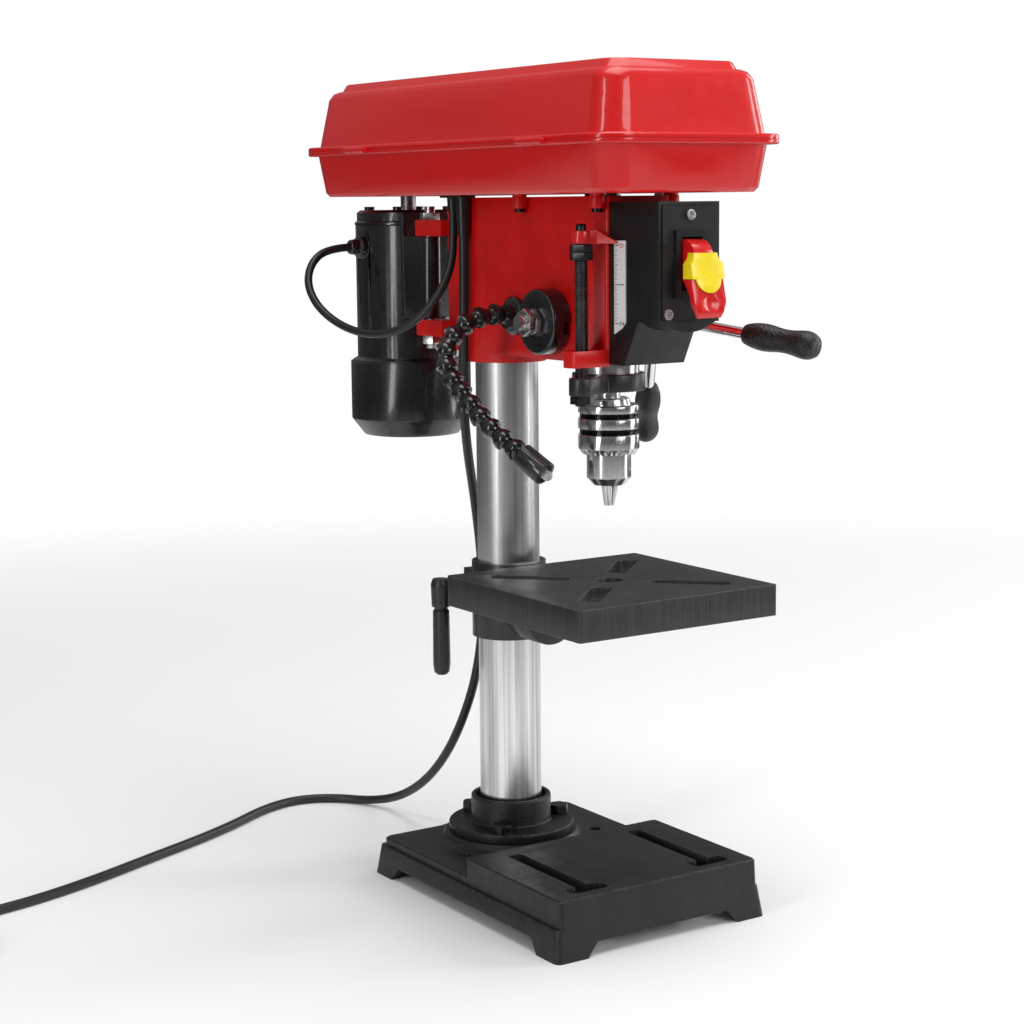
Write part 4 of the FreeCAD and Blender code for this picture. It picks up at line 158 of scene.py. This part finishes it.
def finish(name, colour, rough, metal=0.0, coat=0.0, spec=0.5, coat_rough=0.05,
           mottle=0.12, mottle_scale=35.0, rough_swing=0.06, grain=None, second=None, edge=None):
    """A finish: colour mottled at one scale, roughness that swings, and up to two grains of bump."""
    m = bpy.data.materials.new(name)
    m.use_nodes = True
    nt = m.node_tree
    s = nt.nodes["Principled BSDF"]
    s.inputs["Metallic"].default_value = metal
    s.inputs["Coat Weight"].default_value = coat
    s.inputs["Coat Roughness"].default_value = coat_rough
    s.inputs["Specular IOR Level"].default_value = spec
    cloud = noise(nt, mottle_scale, 4.0, 0.6)
    col = mix(nt, remap(nt, cloud, 0.35, 0.65, 0.0, 1.0),
              tint(colour, 1.0 - mottle), tint(colour, 1.0 + mottle))
    if edge is not None:
        scratch = remap(nt, noise(nt, 220.0, 4.0, 0.7), 0.45, 0.62, 0.0, 1.0)
        col = mix(nt, math_node(nt, "MULTIPLY", edge_mask(nt), scratch), col, edge)
    nt.links.new(col, s.inputs["Base Color"])
    fine = noise(nt, mottle_scale * 3.1, 3.0, 0.6)
    nt.links.new(remap(nt, fine, 0.3, 0.7, rough - rough_swing, rough + rough_swing), s.inputs["Roughness"])
    normal = None
    for g in (grain, second):
        if g is not None:
            scale, strength, distance = g
            normal = bump(nt, s, noise(nt, scale, 3.0, 0.55), strength, distance, normal)
    return m


# ---------------------------------------------------------------- finishes
M = {}
M["cover_red"] = finish("cover_red", (0.68, 0.0040, 0.0040), 0.34, coat=0.6, coat_rough=0.06, spec=0.3,
                        mottle=0.02, rough_swing=0.04)
M["head_red"] = finish("head_red", (0.62, 0.004, 0.0035), 0.40, coat=0.3, coat_rough=0.18, spec=0.3,
                       mottle=0.08, rough_swing=0.08, grain=(420.0, 0.35, 0.0006),
                       second=(95.0, 0.25, 0.0012))
M["base_black"] = finish("base_black", (0.0075, 0.0078, 0.0085), 0.42, coat=0.1, spec=0.35, coat_rough=0.3,
                         mottle=0.25, rough_swing=0.08, grain=(620.0, 0.55, 0.0006),
                         second=(120.0, 0.3, 0.0012), edge=(0.055, 0.056, 0.058))
M["cast_dark"] = finish("cast_dark", (0.009, 0.009, 0.0095), 0.38, coat=0.25, coat_rough=0.25, mottle=0.25,
                        grain=(520.0, 0.4, 0.0005), edge=(0.05, 0.05, 0.05))
M["housing_black"] = finish("housing_black", (0.0075, 0.0075, 0.0085), 0.44, spec=0.35, mottle=0.12,
                            rough_swing=0.05, grain=(1500.0, 0.35, 0.0003), second=(55.0, 0.08, 0.002))
M["moulding"] = finish("moulding", (0.012, 0.012, 0.013), 0.30, mottle=0.1, grain=(900.0, 0.08, 0.0003))
M["motor_black"] = finish("motor_black", (0.007, 0.007, 0.0078), 0.26, coat=0.5, coat_rough=0.10, mottle=0.15,
                          rough_swing=0.05, grain=(260.0, 0.03, 0.0004))
M["switch_red"] = finish("switch_red", (0.68, 0.007, 0.008), 0.24, coat=0.4, mottle=0.05,
                         grain=(200.0, 0.05, 0.0006))
M["key_yellow"] = finish("key_yellow", (0.93, 0.72, 0.008), 0.30, coat=0.3, mottle=0.05,
                         grain=(240.0, 0.06, 0.0006))
M["pointer_red"] = finish("pointer_red", (0.60, 0.010, 0.010), 0.30, coat=0.4, mottle=0.08,
                          grain=(300.0, 0.15, 0.0004))
M["fasteners"] = finish("fasteners", (0.55, 0.55, 0.54), 0.24, metal=1.0, mottle=0.12, mottle_scale=180.0,
                        grain=(900.0, 0.15, 0.0002))
M["dark_steel"] = finish("dark_steel", (0.05, 0.05, 0.052), 0.34, metal=1.0, mottle=0.3, mottle_scale=160.0,
                         grain=(900.0, 0.2, 0.0002))
M["rod_chrome"] = finish("rod_chrome", (0.78, 0.78, 0.79), 0.07, metal=1.0, mottle=0.03, rough_swing=0.03,
                         grain=(80.0, 0.02, 0.0005))
M["motor_steel"] = finish("motor_steel", (0.35, 0.35, 0.35), 0.4, metal=1.0, mottle=0.2,
                          grain=(400.0, 0.2, 0.0003))
M["pulley_aluminium"] = finish("pulley_aluminium", (0.72, 0.72, 0.73), 0.3, metal=1.0, mottle=0.08,
                               grain=(500.0, 0.2, 0.0003))
M["belt_rubber"] = finish("belt_rubber", (0.018, 0.018, 0.018), 0.65, mottle=0.2, grain=(900.0, 0.4, 0.0003))
M["cord_black"] = finish("cord_black", (0.012, 0.012, 0.0125), 0.38, mottle=0.12, rough_swing=0.06,
                         grain=(700.0, 0.12, 0.0003))
M["lamp_black"] = finish("lamp_black", (0.010, 0.010, 0.011), 0.17, coat=0.4, mottle=0.08,
                         grain=(300.0, 0.05, 0.0004))
M["scale_white"] = finish("scale_white", (0.86, 0.86, 0.85), 0.35, mottle=0.03, grain=(600.0, 0.05, 0.0002))
M["ink_black"] = finish("ink_black", (0.01, 0.01, 0.01), 0.5, mottle=0.1)
M["ink_red"] = finish("ink_red", (0.6, 0.01, 0.01), 0.5, mottle=0.1)


def turned_steel(name, colour, rough, axis="Z", centre=(0.0, 0.0), pitch=0.00035, strength=0.12, swing=0.05):
    """Steel turned or ground round an axis: fine rings of bump and slightly uneven polish."""
    m = finish(name, colour, rough, metal=1.0, mottle=0.06, mottle_scale=60.0, rough_swing=swing)
    nt = m.node_tree
    s = nt.nodes["Principled BSDF"]
    along = xyz(nt)["XYZ".index(axis)]
    wave = math_node(nt, "SINE", math_node(nt, "MULTIPLY", along, 2 * math.pi / pitch))
    stretch = {"X": (900.0, 12.0, 12.0), "Y": (12.0, 900.0, 12.0), "Z": (12.0, 12.0, 900.0)}[axis]
    lines = noise(nt, 1.0, 3.0, 0.6, stretched(nt, stretch))
    both = math_node(nt, "ADD", math_node(nt, "MULTIPLY", wave, 0.25), lines)
    bump(nt, s, both, strength, 0.0002)
    return m


M["steel"] = turned_steel("steel", (0.60, 0.60, 0.60), 0.22)
M["chuck_steel"] = turned_steel("chuck_steel", (0.66, 0.66, 0.665), 0.17)


def column_steel():
    """Ground tube: bright, with long vertical streaks and very fine rings."""
    m = finish("column_steel", (0.64, 0.64, 0.645), 0.27, metal=1.0, mottle=0.02)
    nt = m.node_tree
    s = nt.nodes["Principled BSDF"]
    streak = noise(nt, 1.0, 5.0, 0.65, stretched(nt, (260.0, 260.0, 2.5)))
    broad = noise(nt, 1.0, 2.0, 0.5, stretched(nt, (70.0, 70.0, 1.2)))
    both = math_node(nt, "ADD", math_node(nt, "MULTIPLY", streak, 0.6), math_node(nt, "MULTIPLY", broad, 0.4))
    col = mix(nt, remap(nt, both, 0.38, 0.62, 0.0, 1.0), (0.40, 0.40, 0.405), (0.86, 0.86, 0.86))
    nt.links.new(col, s.inputs["Base Color"])
    nt.links.new(remap(nt, both, 0.35, 0.65, 0.36, 0.26), s.inputs["Roughness"])
    s.inputs["Anisotropic"].default_value = 0.8
    around = node(nt, "ShaderNodeTangent", direction_type="RADIAL", axis="Z").outputs["Tangent"]
    nt.links.new(around, s.inputs["Tangent"])
    rings = noise(nt, 1.0, 3.0, 0.7, stretched(nt, (20.0, 20.0, 2200.0)))
    bump(nt, s, rings, 0.06, 0.0002)
    return m


def chuck_sleeve_steel():
    """Turned steel with painted shade in its two grooves, which are coloured near black."""
    m = turned_steel("chuck_sleeve_steel", (0.66, 0.66, 0.665), 0.18)
    nt = m.node_tree
    s = nt.nodes["Principled BSDF"]
    z = xyz(nt)[2]
    # painted shade: the two groove bands are coloured near black where the recesses fall in shade
    groove_shade = math_node(nt, "MAXIMUM", band(nt, z, 0.3431, 0.3467, 0.0001), band(nt, z, 0.3541, 0.3575, 0.0001))
    col = mix(nt, groove_shade, (0.66, 0.66, 0.665), (0.02, 0.02, 0.02))
    nt.links.new(col, s.inputs["Base Color"])
    return m


def table_iron():
    """Dark enamel, with rings turned into the top and mill strokes on the outer sides."""
    m = finish("table_iron", (0.030, 0.030, 0.032), 0.36, mottle=0.18, grain=(300.0, 0.2, 0.0004))
    nt = m.node_tree
    s = nt.nodes["Principled BSDF"]
    p = xyz(nt)
    up = xyz(nt, node(nt, "ShaderNodeTexCoord").outputs["Normal"])[2]
    top = math_node(nt, "MULTIPLY", remap(nt, up, 0.9, 0.98, 0.0, 1.0),
                    remap(nt, p[2], 0.2402, 0.2408, 0.0, 1.0))
    dx = p[0]
    dy = math_node(nt, "SUBTRACT", p[1], SPINDLE_Y)
    r2 = math_node(nt, "ADD", math_node(nt, "MULTIPLY", dx, dx), math_node(nt, "MULTIPLY", dy, dy))
    radius = math_node(nt, "SQRT", r2)
    ring_at = node(nt, "ShaderNodeCombineXYZ", i0=math_node(nt, "MULTIPLY", radius, 900.0)).outputs[0]
    rings = noise(nt, 1.0, 4.0, 0.7, ring_at)
    arc = noise(nt, 60.0, 2.0, 0.5)
    rings = math_node(nt, "ADD", math_node(nt, "MULTIPLY", rings, 0.8), math_node(nt, "MULTIPLY", arc, 0.2))
    side = math_node(nt, "MULTIPLY", remap(nt, math_node(nt, "ABSOLUTE", up), 0.2, 0.4, 1.0, 0.0),
                     remap(nt, p[2], 0.2190, 0.2200, 0.0, 1.0))
    strokes = noise(nt, 1.0, 3.0, 0.6, stretched(nt, (650.0, 650.0, 14.0)))
    plain = noise(nt, 35.0, 4.0, 0.6)
    col = mix(nt, remap(nt, plain, 0.35, 0.65, 0.0, 1.0), (0.010, 0.010, 0.011), (0.015, 0.015, 0.016))
    stroked = math_node(nt, "MULTIPLY", side, remap(nt, strokes, 0.4, 0.7, 0.0, 1.0))
    col = mix(nt, stroked, col, (0.030, 0.030, 0.032))
    topcol = mix(nt, remap(nt, rings, 0.40, 0.62, 0.0, 1.0), (0.016, 0.016, 0.018), (0.060, 0.061, 0.064))
    col = mix(nt, top, col, topcol)
    edge = math_node(nt, "MULTIPLY", edge_mask(nt, 0.0010), remap(nt, noise(nt, 300.0), 0.4, 0.6, 0.3, 1.0))
    col = mix(nt, edge, col, (0.16, 0.16, 0.165))
    nt.links.new(col, s.inputs["Base Color"])
    height = math_node(nt, "ADD", math_node(nt, "MULTIPLY", top, rings),
                       math_node(nt, "MULTIPLY", side, strokes))
    bump(nt, s, height, 0.35, 0.0003)
    nt.links.new(remap(nt, top, 0.0, 1.0, 0.44, 0.42), s.inputs["Roughness"])
    metal = math_node(nt, "MULTIPLY", top, 0.35)
    nt.links.new(metal, s.inputs["Metallic"])
    return m


def grip_rubber():
    """Hard black grip with a pebbled grain."""
    m = finish("grip_rubber", (0.013, 0.013, 0.014), 0.42, mottle=0.15)
    nt = m.node_tree
    s = nt.nodes["Principled BSDF"]
    cells = node(nt, "ShaderNodeTexVoronoi", Vector=place(nt), Scale=620.0).outputs["Distance"]
    bump(nt, s, cells, 0.55, 0.0006)
    return m


def plug_finish():
    """Black moulding whose pins are bright."""
    m = finish("plug_finish", (0.013, 0.013, 0.013), 0.38, mottle=0.1, grain=(500.0, 0.15, 0.0004))
    nt = m.node_tree
    s = nt.nodes["Principled BSDF"]
    y = xyz(nt)[1]
    tip = remap(nt, y, PLUG_FACE_Y - 0.0004, PLUG_FACE_Y - 0.0008, 0.0, 1.0)
    col = mix(nt, tip, (0.013, 0.013, 0.013), (0.72, 0.62, 0.42))
    nt.links.new(col, s.inputs["Base Color"])
    nt.links.new(tip, s.inputs["Metallic"])
    return m


# ---------------------------------------------------------------- cords
POWER_ROUTE = (
    (-34, 30, 476.7), (-34, 30, 440), (-33.5, 33, 396), (-28, 43, 356), (-14, 61, 318), (3, 79, 280),
    (14, 87, 230), (17, 90, 182), (14, 96, 136), (10, 112, 96), (8, 136, 62), (7, 168, 34), (5, 206, 13),
    (-4, 240, 3.6), (-24, 266, 3.6), (-54, 279, 3.6), (-90, 268, 3.6), (-128, 243, 3.6), (-172, 220, 3.6),
    (-222, 198, 3.6), (-276, 173, 3.6), (-325, 155, 3.6), (-366, 146, 3.6), (-404, 140, 3.6),
)
CABLE_ROUTE = (
    (-53.5, 166, 467.5), (-72, 166.5, 466.5), (-87, 164, 457), (-95, 157, 442), (-95, 145, 427),
    (-90, 129, 415), (-83, 109, 407), (-75, 88, 404.5), (-67, 69, 408), (-58, 53, 418), (-49, 43, 433),
    (-40.5, 39.5, 450), (-36, 40.5, 469), (-36, 40.5, 494.7),
)
COIL_LEAD = 40.0
COIL_MID = 44.5
last = Vector(POWER_ROUTE[-1])
along = (last - Vector(POWER_ROUTE[-2])).normalized()
COIL = last + along * COIL_LEAD + Vector((-along.y, along.x, 0)) * COIL_MID
PLUG_X = COIL.x - COIL_MID
PLUG_Z = 12.1
PLUG_END_Y = COIL.y - 38.0
PLUG_FACE_Y = (PLUG_END_Y - 22.0 - 26.0) * MM


def nurbs(name, points, radius, finish_name):
    c = bpy.data.curves.new(name, "CURVE")
    c.dimensions = "3D"
    s = c.splines.new("NURBS")
    s.points.add(len(points) - 1)
    for p, q in zip(s.points, points):
        p.co = (q[0] * MM, q[1] * MM, q[2] * MM, 1.0)
    s.order_u = 3
    s.use_endpoint_u = True
    s.resolution_u = 8
    c.bevel_depth = radius
    c.bevel_resolution = 7
    c.use_fill_caps = True
    c.materials.append(M[finish_name])
    return link(bpy.data.objects.new(name, c))


def coil_points():
    """Three and a bit turns: in along the floor, up one layer, and out again to the plug."""
    start = math.degrees(math.atan2(*reversed((last + along * COIL_LEAD - COIL).xy)))
    total = (180.0 - start) + 3 * 360.0
    count = 42
    points = []
    for i in range(count + 1):
        t = i / count
        a = math.radians(start + total * t)
        turn = total * t / 360.0
        if turn < 1.0:
            r, z = COIL_MID, 3.6
        elif turn < 2.1:
            k = min(1.0, (turn - 1.0) / 0.25)
            r, z = COIL_MID - 7.4 * k, 3.6 + 0.2 * k
        elif turn < 2.45:
            k = (turn - 2.1) / 0.35
            r, z = COIL_MID - 7.4 + 1.0 * k, 3.8 + 7.2 * k
        else:
            k = min(1.0, (turn - 2.45) / 0.7)
            r, z = COIL_MID - 6.4 + 6.0 * k, 11.0 + 0.3 * k
        points.append((COIL.x + r * math.cos(a), COIL.y + r * math.sin(a), z))
    return points


turns = coil_points()
lead_in = [tuple(last + along * (COIL_LEAD * 0.5))]
tail = [(PLUG_X + 0.2, COIL.y - 12.0, 11.8), (PLUG_X, COIL.y - 26.0, PLUG_Z), (PLUG_X, PLUG_END_Y, PLUG_Z)]
power = nurbs("power_cord_line", list(POWER_ROUTE) + lead_in + turns + tail, 0.0035, "cord_black")
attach(power, "stand")
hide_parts("power_cord", "cord_coil")


def tie():
    """Flat strap round the turns, on the coil's camera side."""
    bm = bmesh.new()
    x0, w = COIL.x, 3.0
    y_out, y_in, z_low, z_high = COIL.y - 48.9, COIL.y - 31.6, 0.35, 15.6
    path = []
    for cy, cz, a0 in ((y_out + 3, z_low + 3, 180), (y_in - 3, z_low + 3, 270), (y_in - 3, z_high - 3, 0),
                       (y_out + 3, z_high - 3, 90)):
        for k in range(5):
            a = math.radians(a0 + k * 22.5)
            path.append((cy + 3 * math.cos(a), cz + 3 * math.sin(a)))
    rows = []
    for cy, cz in path:
        across = (x0 - w, x0 - w / 3, x0 + w / 3, x0 + w)
        rows.append([bm.verts.new((x * MM, cy * MM, cz * MM)) for x in across])
    n = len(rows)
    for i in range(n):
        for j in range(3):
            bm.faces.new((rows[i][j], rows[(i + 1) % n][j], rows[(i + 1) % n][j + 1], rows[i][j + 1]))
    me = bpy.data.meshes.new("coil_tie_strap")
    bm.to_mesh(me)
    bm.free()
    o = link(bpy.data.objects.new("coil_tie_strap", me))
    s = o.modifiers.new("thick", "SOLIDIFY")
    s.thickness = 0.0009
    s.offset = 0.0
    b = o.modifiers.new("round", "BEVEL")
    b.width = 0.0002
    b.segments = 2
    me.materials.append(M["moulding"])
    for p in me.polygons:
        p.use_smooth = True
    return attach(o, "stand")


strap = tie()


def cable_to_motor():
    """The motor's lead as a mesh tube."""
    line = nurbs("motor_lead_line", CABLE_ROUTE, 0.0, "cord_black")
    line.data.use_fill_caps = False
    dg = bpy.context.evaluated_depsgraph_get()
    bpy.context.view_layer.update()
    bare = bpy.data.meshes.new_from_object(line.evaluated_get(dg))
    line.data.bevel_depth = 0.003
    line.data.use_fill_caps = True
    bpy.context.view_layer.update()
    dg = bpy.context.evaluated_depsgraph_get()
    me = bpy.data.meshes.new_from_object(line.evaluated_get(dg))
    me.name = "motor_lead"
    me.materials.clear()
    me.materials.append(M["cord_black"])
    for p in me.polygons:
        p.use_smooth = True
    o = link(bpy.data.objects.new("motor_lead", me))
    bpy.data.objects.remove(line)
    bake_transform(o)
    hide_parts("motor_cable")
    return o


cable_to_motor()

# ---------------------------------------------------------------- CAD nodes and their finishes
M["column"] = column_steel()
M["sleeve"] = chuck_sleeve_steel()
M["table"] = table_iron()
M["grip"] = grip_rubber()
M["plug"] = plug_finish()

LOOK = {
    "base_casting": "base_black", "column_flange": "base_black", "flange_bolts": "dark_steel",
    "column_tube": "column", "table_bracket": "cast_dark", "table": "table", "tilt_bolt": "fasteners",
    "table_clamp": "cast_dark", "head_casting": "head_red", "head_screws": "screws",
    "front_housing": "housing_black", "switch_plate": "housing_black", "switch_body": "moulding",
    "switch_paddle": "switch_red", "safety_key": "key_yellow", "depth_scale": "scale_white",
    "quill": "steel", "quill_bearings": "steel", "spindle": "steel", "chuck_body": "chuck_steel",
    "chuck_sleeve": "sleeve", "chuck_jaw_1": "chuck_steel", "chuck_jaw_2": "chuck_steel",
    "chuck_jaw_3": "chuck_steel", "depth_collar": "cast_dark", "depth_rod": "dark_steel",
    "depth_nuts": "dark_steel", "depth_pointer": "pointer_red", "pinion_shaft": "steel",
    "feed_hub": "motor_black", "handle_rods": "rod_chrome", "handle_grips": "grip",
    "spring_case": "motor_black", "return_spring": "steel", "spring_nuts": "fasteners",
    "belt_tray": "cover_red", "lid_shell": "cover_red", "spindle_pulley": "pulley_aluminium",
    "sleeve_bearings": "steel", "drive_belt": "belt_rubber", "motor_pulley": "pulley_aluminium",
    "motor_shell": "motor_black", "motor_cap": "motor_black", "fan_cover": "motor_black",
    "cooling_fan": "moulding", "motor_rotor": "motor_steel", "motor_stator": "motor_steel",
    "motor_bearings": "steel", "motor_bracket": "motor_black", "pivot_bolt": "fasteners",
    "lamp_base": "lamp_black", "lamp_neck_1": "lamp_black", "lamp_neck_2": "lamp_black",
    "lamp_head": "lamp_black", "motor_cable": "cord_black", "cord_grip": "moulding",
    "power_cord": "cord_black", "cord_coil": "cord_black", "power_plug": "plug",
}


def screw_finish():
    """Nickel-bright screws on the switch plate, blackened ones elsewhere."""
    m = finish("screw_finish", (0.5, 0.5, 0.5), 0.30, metal=1.0, mottle=0.1, mottle_scale=150.0)
    nt = m.node_tree
    s = nt.nodes["Principled BSDF"]
    bright = remap(nt, xyz(nt)[1], -0.150, -0.152, 0.0, 1.0)
    nt.links.new(mix(nt, bright, (0.04, 0.04, 0.042), (0.62, 0.62, 0.61)), s.inputs["Base Color"])
    return m


M["screws"] = screw_finish()


def lens_glass():
    m = finish("lens_glass", (0.93, 0.95, 0.97), 0.05, mottle=0.02, rough_swing=0.02)
    s = m.node_tree.nodes["Principled BSDF"]
    s.inputs["Transmission Weight"].default_value = 0.7
    s.inputs["IOR"].default_value = 1.5
    return m


M["lens"] = lens_glass()
LOOK["lamp_lens"] = "lens"

ROUND = {
    "base_casting": 1.6, "column_flange": 0.8, "table": 1.0, "table_bracket": 1.0, "table_clamp": 0.8,
    "head_casting": 1.6, "front_housing": 0.9,
    "switch_paddle": 0.9, "safety_key": 0.6, "belt_tray": 1.4, "lid_shell": 2.6, "spring_case": 0.5,
    "feed_hub": 0.8, "depth_collar": 0.8, "depth_pointer": 0.6, "motor_shell": 0.6, "motor_cap": 1.2,
    "fan_cover": 1.6, "motor_bracket": 0.8, "lamp_base": 0.6, "chuck_body": 0.3, "chuck_sleeve": 0.3,
    "flange_bolts": 0.4, "tilt_bolt": 0.4, "spring_nuts": 0.4, "depth_nuts": 0.4, "pivot_bolt": 0.4,
    "cord_grip": 0.4, "power_plug": 1.0, "spindle_pulley": 0.4, "motor_pulley": 0.4, "head_screws": 0.15,
    "lamp_head": 0.2,
}

for name, obj in N.items():
    me = obj.data
    me.materials.clear()
    me.materials.append(M[LOOK[name]])
    for p in me.polygons:
        p.use_smooth = True
    if name in ROUND:
        w = obj.modifiers.new("weld", "WELD")
        w.merge_threshold = 1e-6
        b = obj.modifiers.new("edge", "BEVEL")
        b.width = ROUND[name] * MM
        b.segments = 3
        b.limit_method = "ANGLE"
        b.angle_limit = math.radians(32)
        b.harden_normals = True
        b.use_clamp_overlap = True

# ---------------------------------------------------------------- pieces finer than the solid model
def mesh_piece(name, bm, material, body, smooth=True):
    me = bpy.data.meshes.new(name)
    bm.to_mesh(me)
    bm.free()
    me.materials.append(M[material])
    for poly in me.polygons:
        poly.use_smooth = smooth
    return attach(link(bpy.data.objects.new(name, me)), body)


def threaded_rod():
    """Depth rod with a real helical thread, a plain upper end and its lock nut."""
    low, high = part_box("depth_rod")
    nut_low, thread_top = 0.3677, 0.4730
    radius, depth, pitch = 0.0045, 0.0005, 0.0015
    x, y = -0.042, SPINDLE_Y - 0.028
    sides, steps = 24, 6
    bm = bmesh.new()
    count = int((thread_top - low[2]) / pitch * steps)
    rows = [[bm.verts.new((x, y, low[2]))] * sides]
    for i in range(count + 1):
        z = low[2] + (thread_top - low[2]) * i / count
        row = []
        for k in range(sides):
            a = 2 * math.pi * k / sides
            phase = (z / pitch - k / sides) % 1.0
            cut = depth * (1.0 - abs(2.0 * phase - 1.0))
            end = min(1.0, (z - low[2]) / 0.001 + 0.7, (thread_top - z) / 0.0008 + 0.78)
            r = (radius - cut) * end
            row.append(bm.verts.new((x + r * math.cos(a), y + r * math.sin(a), z)))
        rows.append(row)
    for z, r in ((thread_top, 0.0035), (high[2] - 0.0008, 0.0035), (high[2], 0.0028)):
        rows.append([bm.verts.new((x + r * math.cos(2 * math.pi * k / sides),
                                   y + r * math.sin(2 * math.pi * k / sides), z)) for k in range(sides)])
    rows.append([bm.verts.new((x, y, high[2]))] * sides)
    for lower, upper in zip(rows, rows[1:]):
        for k in range(sides):
            ring = [lower[k], lower[(k + 1) % sides], upper[(k + 1) % sides], upper[k]]
            corners = [v for i, v in enumerate(ring) if v is not ring[i - 1]]
            if len(corners) > 2:
                bm.faces.new(corners)
    rod = mesh_piece("depth_rod_thread", bm, "dark_steel", "quill")
    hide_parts("depth_rod")
    nut = bmesh.new()
    nut_flats, nut_height = 0.0140, 0.0052
    corner = nut_flats / 2 / math.cos(math.pi / 6)
    turned = Matrix.Rotation(math.radians(10), 4, "Z")
    bmesh.ops.create_cone(nut, cap_ends=True, segments=6, radius1=corner, radius2=corner, depth=nut_height,
                          matrix=Matrix.Translation((x, y, nut_low + nut_height / 2)) @ turned)
    piece = mesh_piece("depth_rod_lock_nut", nut, "dark_steel", "quill", smooth=False)
    rounder = piece.modifiers.new("edge", "BEVEL")
    rounder.width = 0.0005
    rounder.segments = 3


def scale_marks():
    """Ticks and turned numerals printed on the depth scale."""
    low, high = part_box("depth_scale")
    x = low[0] - 0.00004
    zero = 0.4718
    inch = 0.0254
    black = bmesh.new()
    for i in range(33):
        long = 0.0046 if i % 16 == 0 else 0.0036 if i % 8 == 0 else 0.0028 if i % 2 == 0 else 0.0020
        z = zero - i * inch / 16
        front = high[1] - 0.0006
        bmesh.ops.create_cube(black, size=1.0, matrix=Matrix.Translation((x, front - long / 2, z))
                              @ Matrix.Diagonal((0.0001, long, 0.00032 if i % 8 else 0.00045, 1.0)))
    mesh_piece("scale_ticks", black, "ink_black", "stand", smooth=False)
    numerals = (("0", zero, "ink_red"), ("1", zero - inch, "ink_black"), ("2", zero - 2 * inch, "ink_black"))
    for text, z, ink in numerals:
        font = bpy.data.curves.new("scale_numeral_" + text, "FONT")
        font.body = text
        font.size = 0.0062
        font.extrude = 0.00005
        font.align_x = "CENTER"
        font.align_y = "CENTER"
        flat = link(bpy.data.objects.new("numeral", font))
        bpy.context.view_layer.update()
        me = bpy.data.meshes.new_from_object(flat.evaluated_get(bpy.context.evaluated_depsgraph_get()))
        bpy.data.objects.remove(flat)
        me.name = "scale_numeral_" + text
        turn = Matrix(((0, 0, -1, 0), (0, 1, 0, 0), (1, 0, 0, 0), (0, 0, 0, 1)))
        me.transform(Matrix.Translation((x, low[1] + 0.0036, z)) @ turn)
        me.materials.clear()
        me.materials.append(M[ink])
        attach(link(bpy.data.objects.new("scale_numeral_" + text, me)), "stand")


threaded_rod()
scale_marks()

# ---------------------------------------------------------------- floor, light, camera
floor_me = bpy.data.meshes.new("studio_floor")
bm = bmesh.new()
bmesh.ops.create_circle(bm, cap_ends=True, segments=96, radius=4.0)
bm.to_mesh(floor_me)
bm.free()
floor = link(bpy.data.objects.new("studio_floor", floor_me))
fm = bpy.data.materials.new("studio_floor")
fm.use_nodes = True
nt = fm.node_tree
fs = nt.nodes["Principled BSDF"]
fs.inputs["Base Color"].default_value = (0.93, 0.93, 0.93, 1)
fs.inputs["Roughness"].default_value = 0.75
fs.inputs["Specular IOR Level"].default_value = 0.15
p = xyz(nt)
r = math_node(nt, "SQRT", math_node(nt, "ADD", math_node(nt, "MULTIPLY", p[0], p[0]),
                                    math_node(nt, "MULTIPLY", p[1], p[1])))
nt.links.new(remap(nt, r, 0.55, 1.9, 1.0, 0.0), fs.inputs["Alpha"])
floor_me.materials.append(fm)

world = bpy.data.worlds.new("studio")
scene.world = world
world.use_nodes = True
wt = world.node_tree
bg = wt.nodes["Background"]
z = xyz(wt, node(wt, "ShaderNodeTexCoord").outputs["Generated"])[2]
sky = mix(wt, remap(wt, z, -0.1, 0.9, 0.0, 1.0), (0.07, 0.07, 0.072), (0.42, 0.42, 0.43))
seen = node(wt, "ShaderNodeLightPath").outputs["Is Camera Ray"]
wt.links.new(mix(wt, seen, sky, (1.0, 1.0, 1.0)), bg.inputs["Color"])
bg.inputs["Strength"].default_value = 1.0


def softbox(name, at, target, size_x, size_y, power_w):
    light = bpy.data.lights.new(name, "AREA")
    light.shape = "RECTANGLE"
    light.size = size_x
    light.size_y = size_y
    light.energy = power_w
    o = link(bpy.data.objects.new(name, light))
    o.location = at
    o.rotation_euler = (Vector(target) - Vector(at)).to_track_quat("-Z", "Y").to_euler()
    return o


softbox("top_box", (0.1, -0.3, 2.3), (0, 0, 0.3), 1.8, 1.6, 30)
softbox("front_fill", (0.5, -2.6, 1.2), (0, 0, 0.35), 1.3, 1.0, 20)
softbox("left_strip", (-1.9, -0.55, 0.75), (0, 0, 0.35), 0.30, 1.6, 11)
softbox("right_strip", (1.7, -0.9, 0.75), (0, 0, 0.35), 0.40, 1.6, 13)
softbox("rim_right", (1.9, 0.3, 0.9), (0, 0, 0.4), 0.5, 1.4, 8)

AZ, EL, ROLL = (math.radians(v) for v in (-32.99, 8.30, -0.56))
back = Vector((math.sin(AZ) * math.cos(EL), -math.cos(AZ) * math.cos(EL), math.sin(EL)))
right = Vector((0, 0, 1)).cross(back).normalized()
upv = back.cross(right)
r2 = right * math.cos(ROLL) + upv * math.sin(ROLL)
u2 = upv * math.cos(ROLL) - right * math.sin(ROLL)
cam_data = bpy.data.cameras.new("photo_camera")
cam_data.sensor_width = 36.0
cam_data.lens = 74.64
cam_data.clip_end = 30.0
cam = link(bpy.data.objects.new("photo_camera", cam_data))
cam.matrix_world = Matrix(((r2.x, u2.x, back.x, -0.84475), (r2.y, u2.y, back.y, -1.27941),
                           (r2.z, u2.z, back.z, 0.50042), (0, 0, 0, 1)))
scene.camera = cam
scene.view_settings.view_transform = "Standard"
scene.view_settings.look = "None"

bpy.context.view_layer.update()
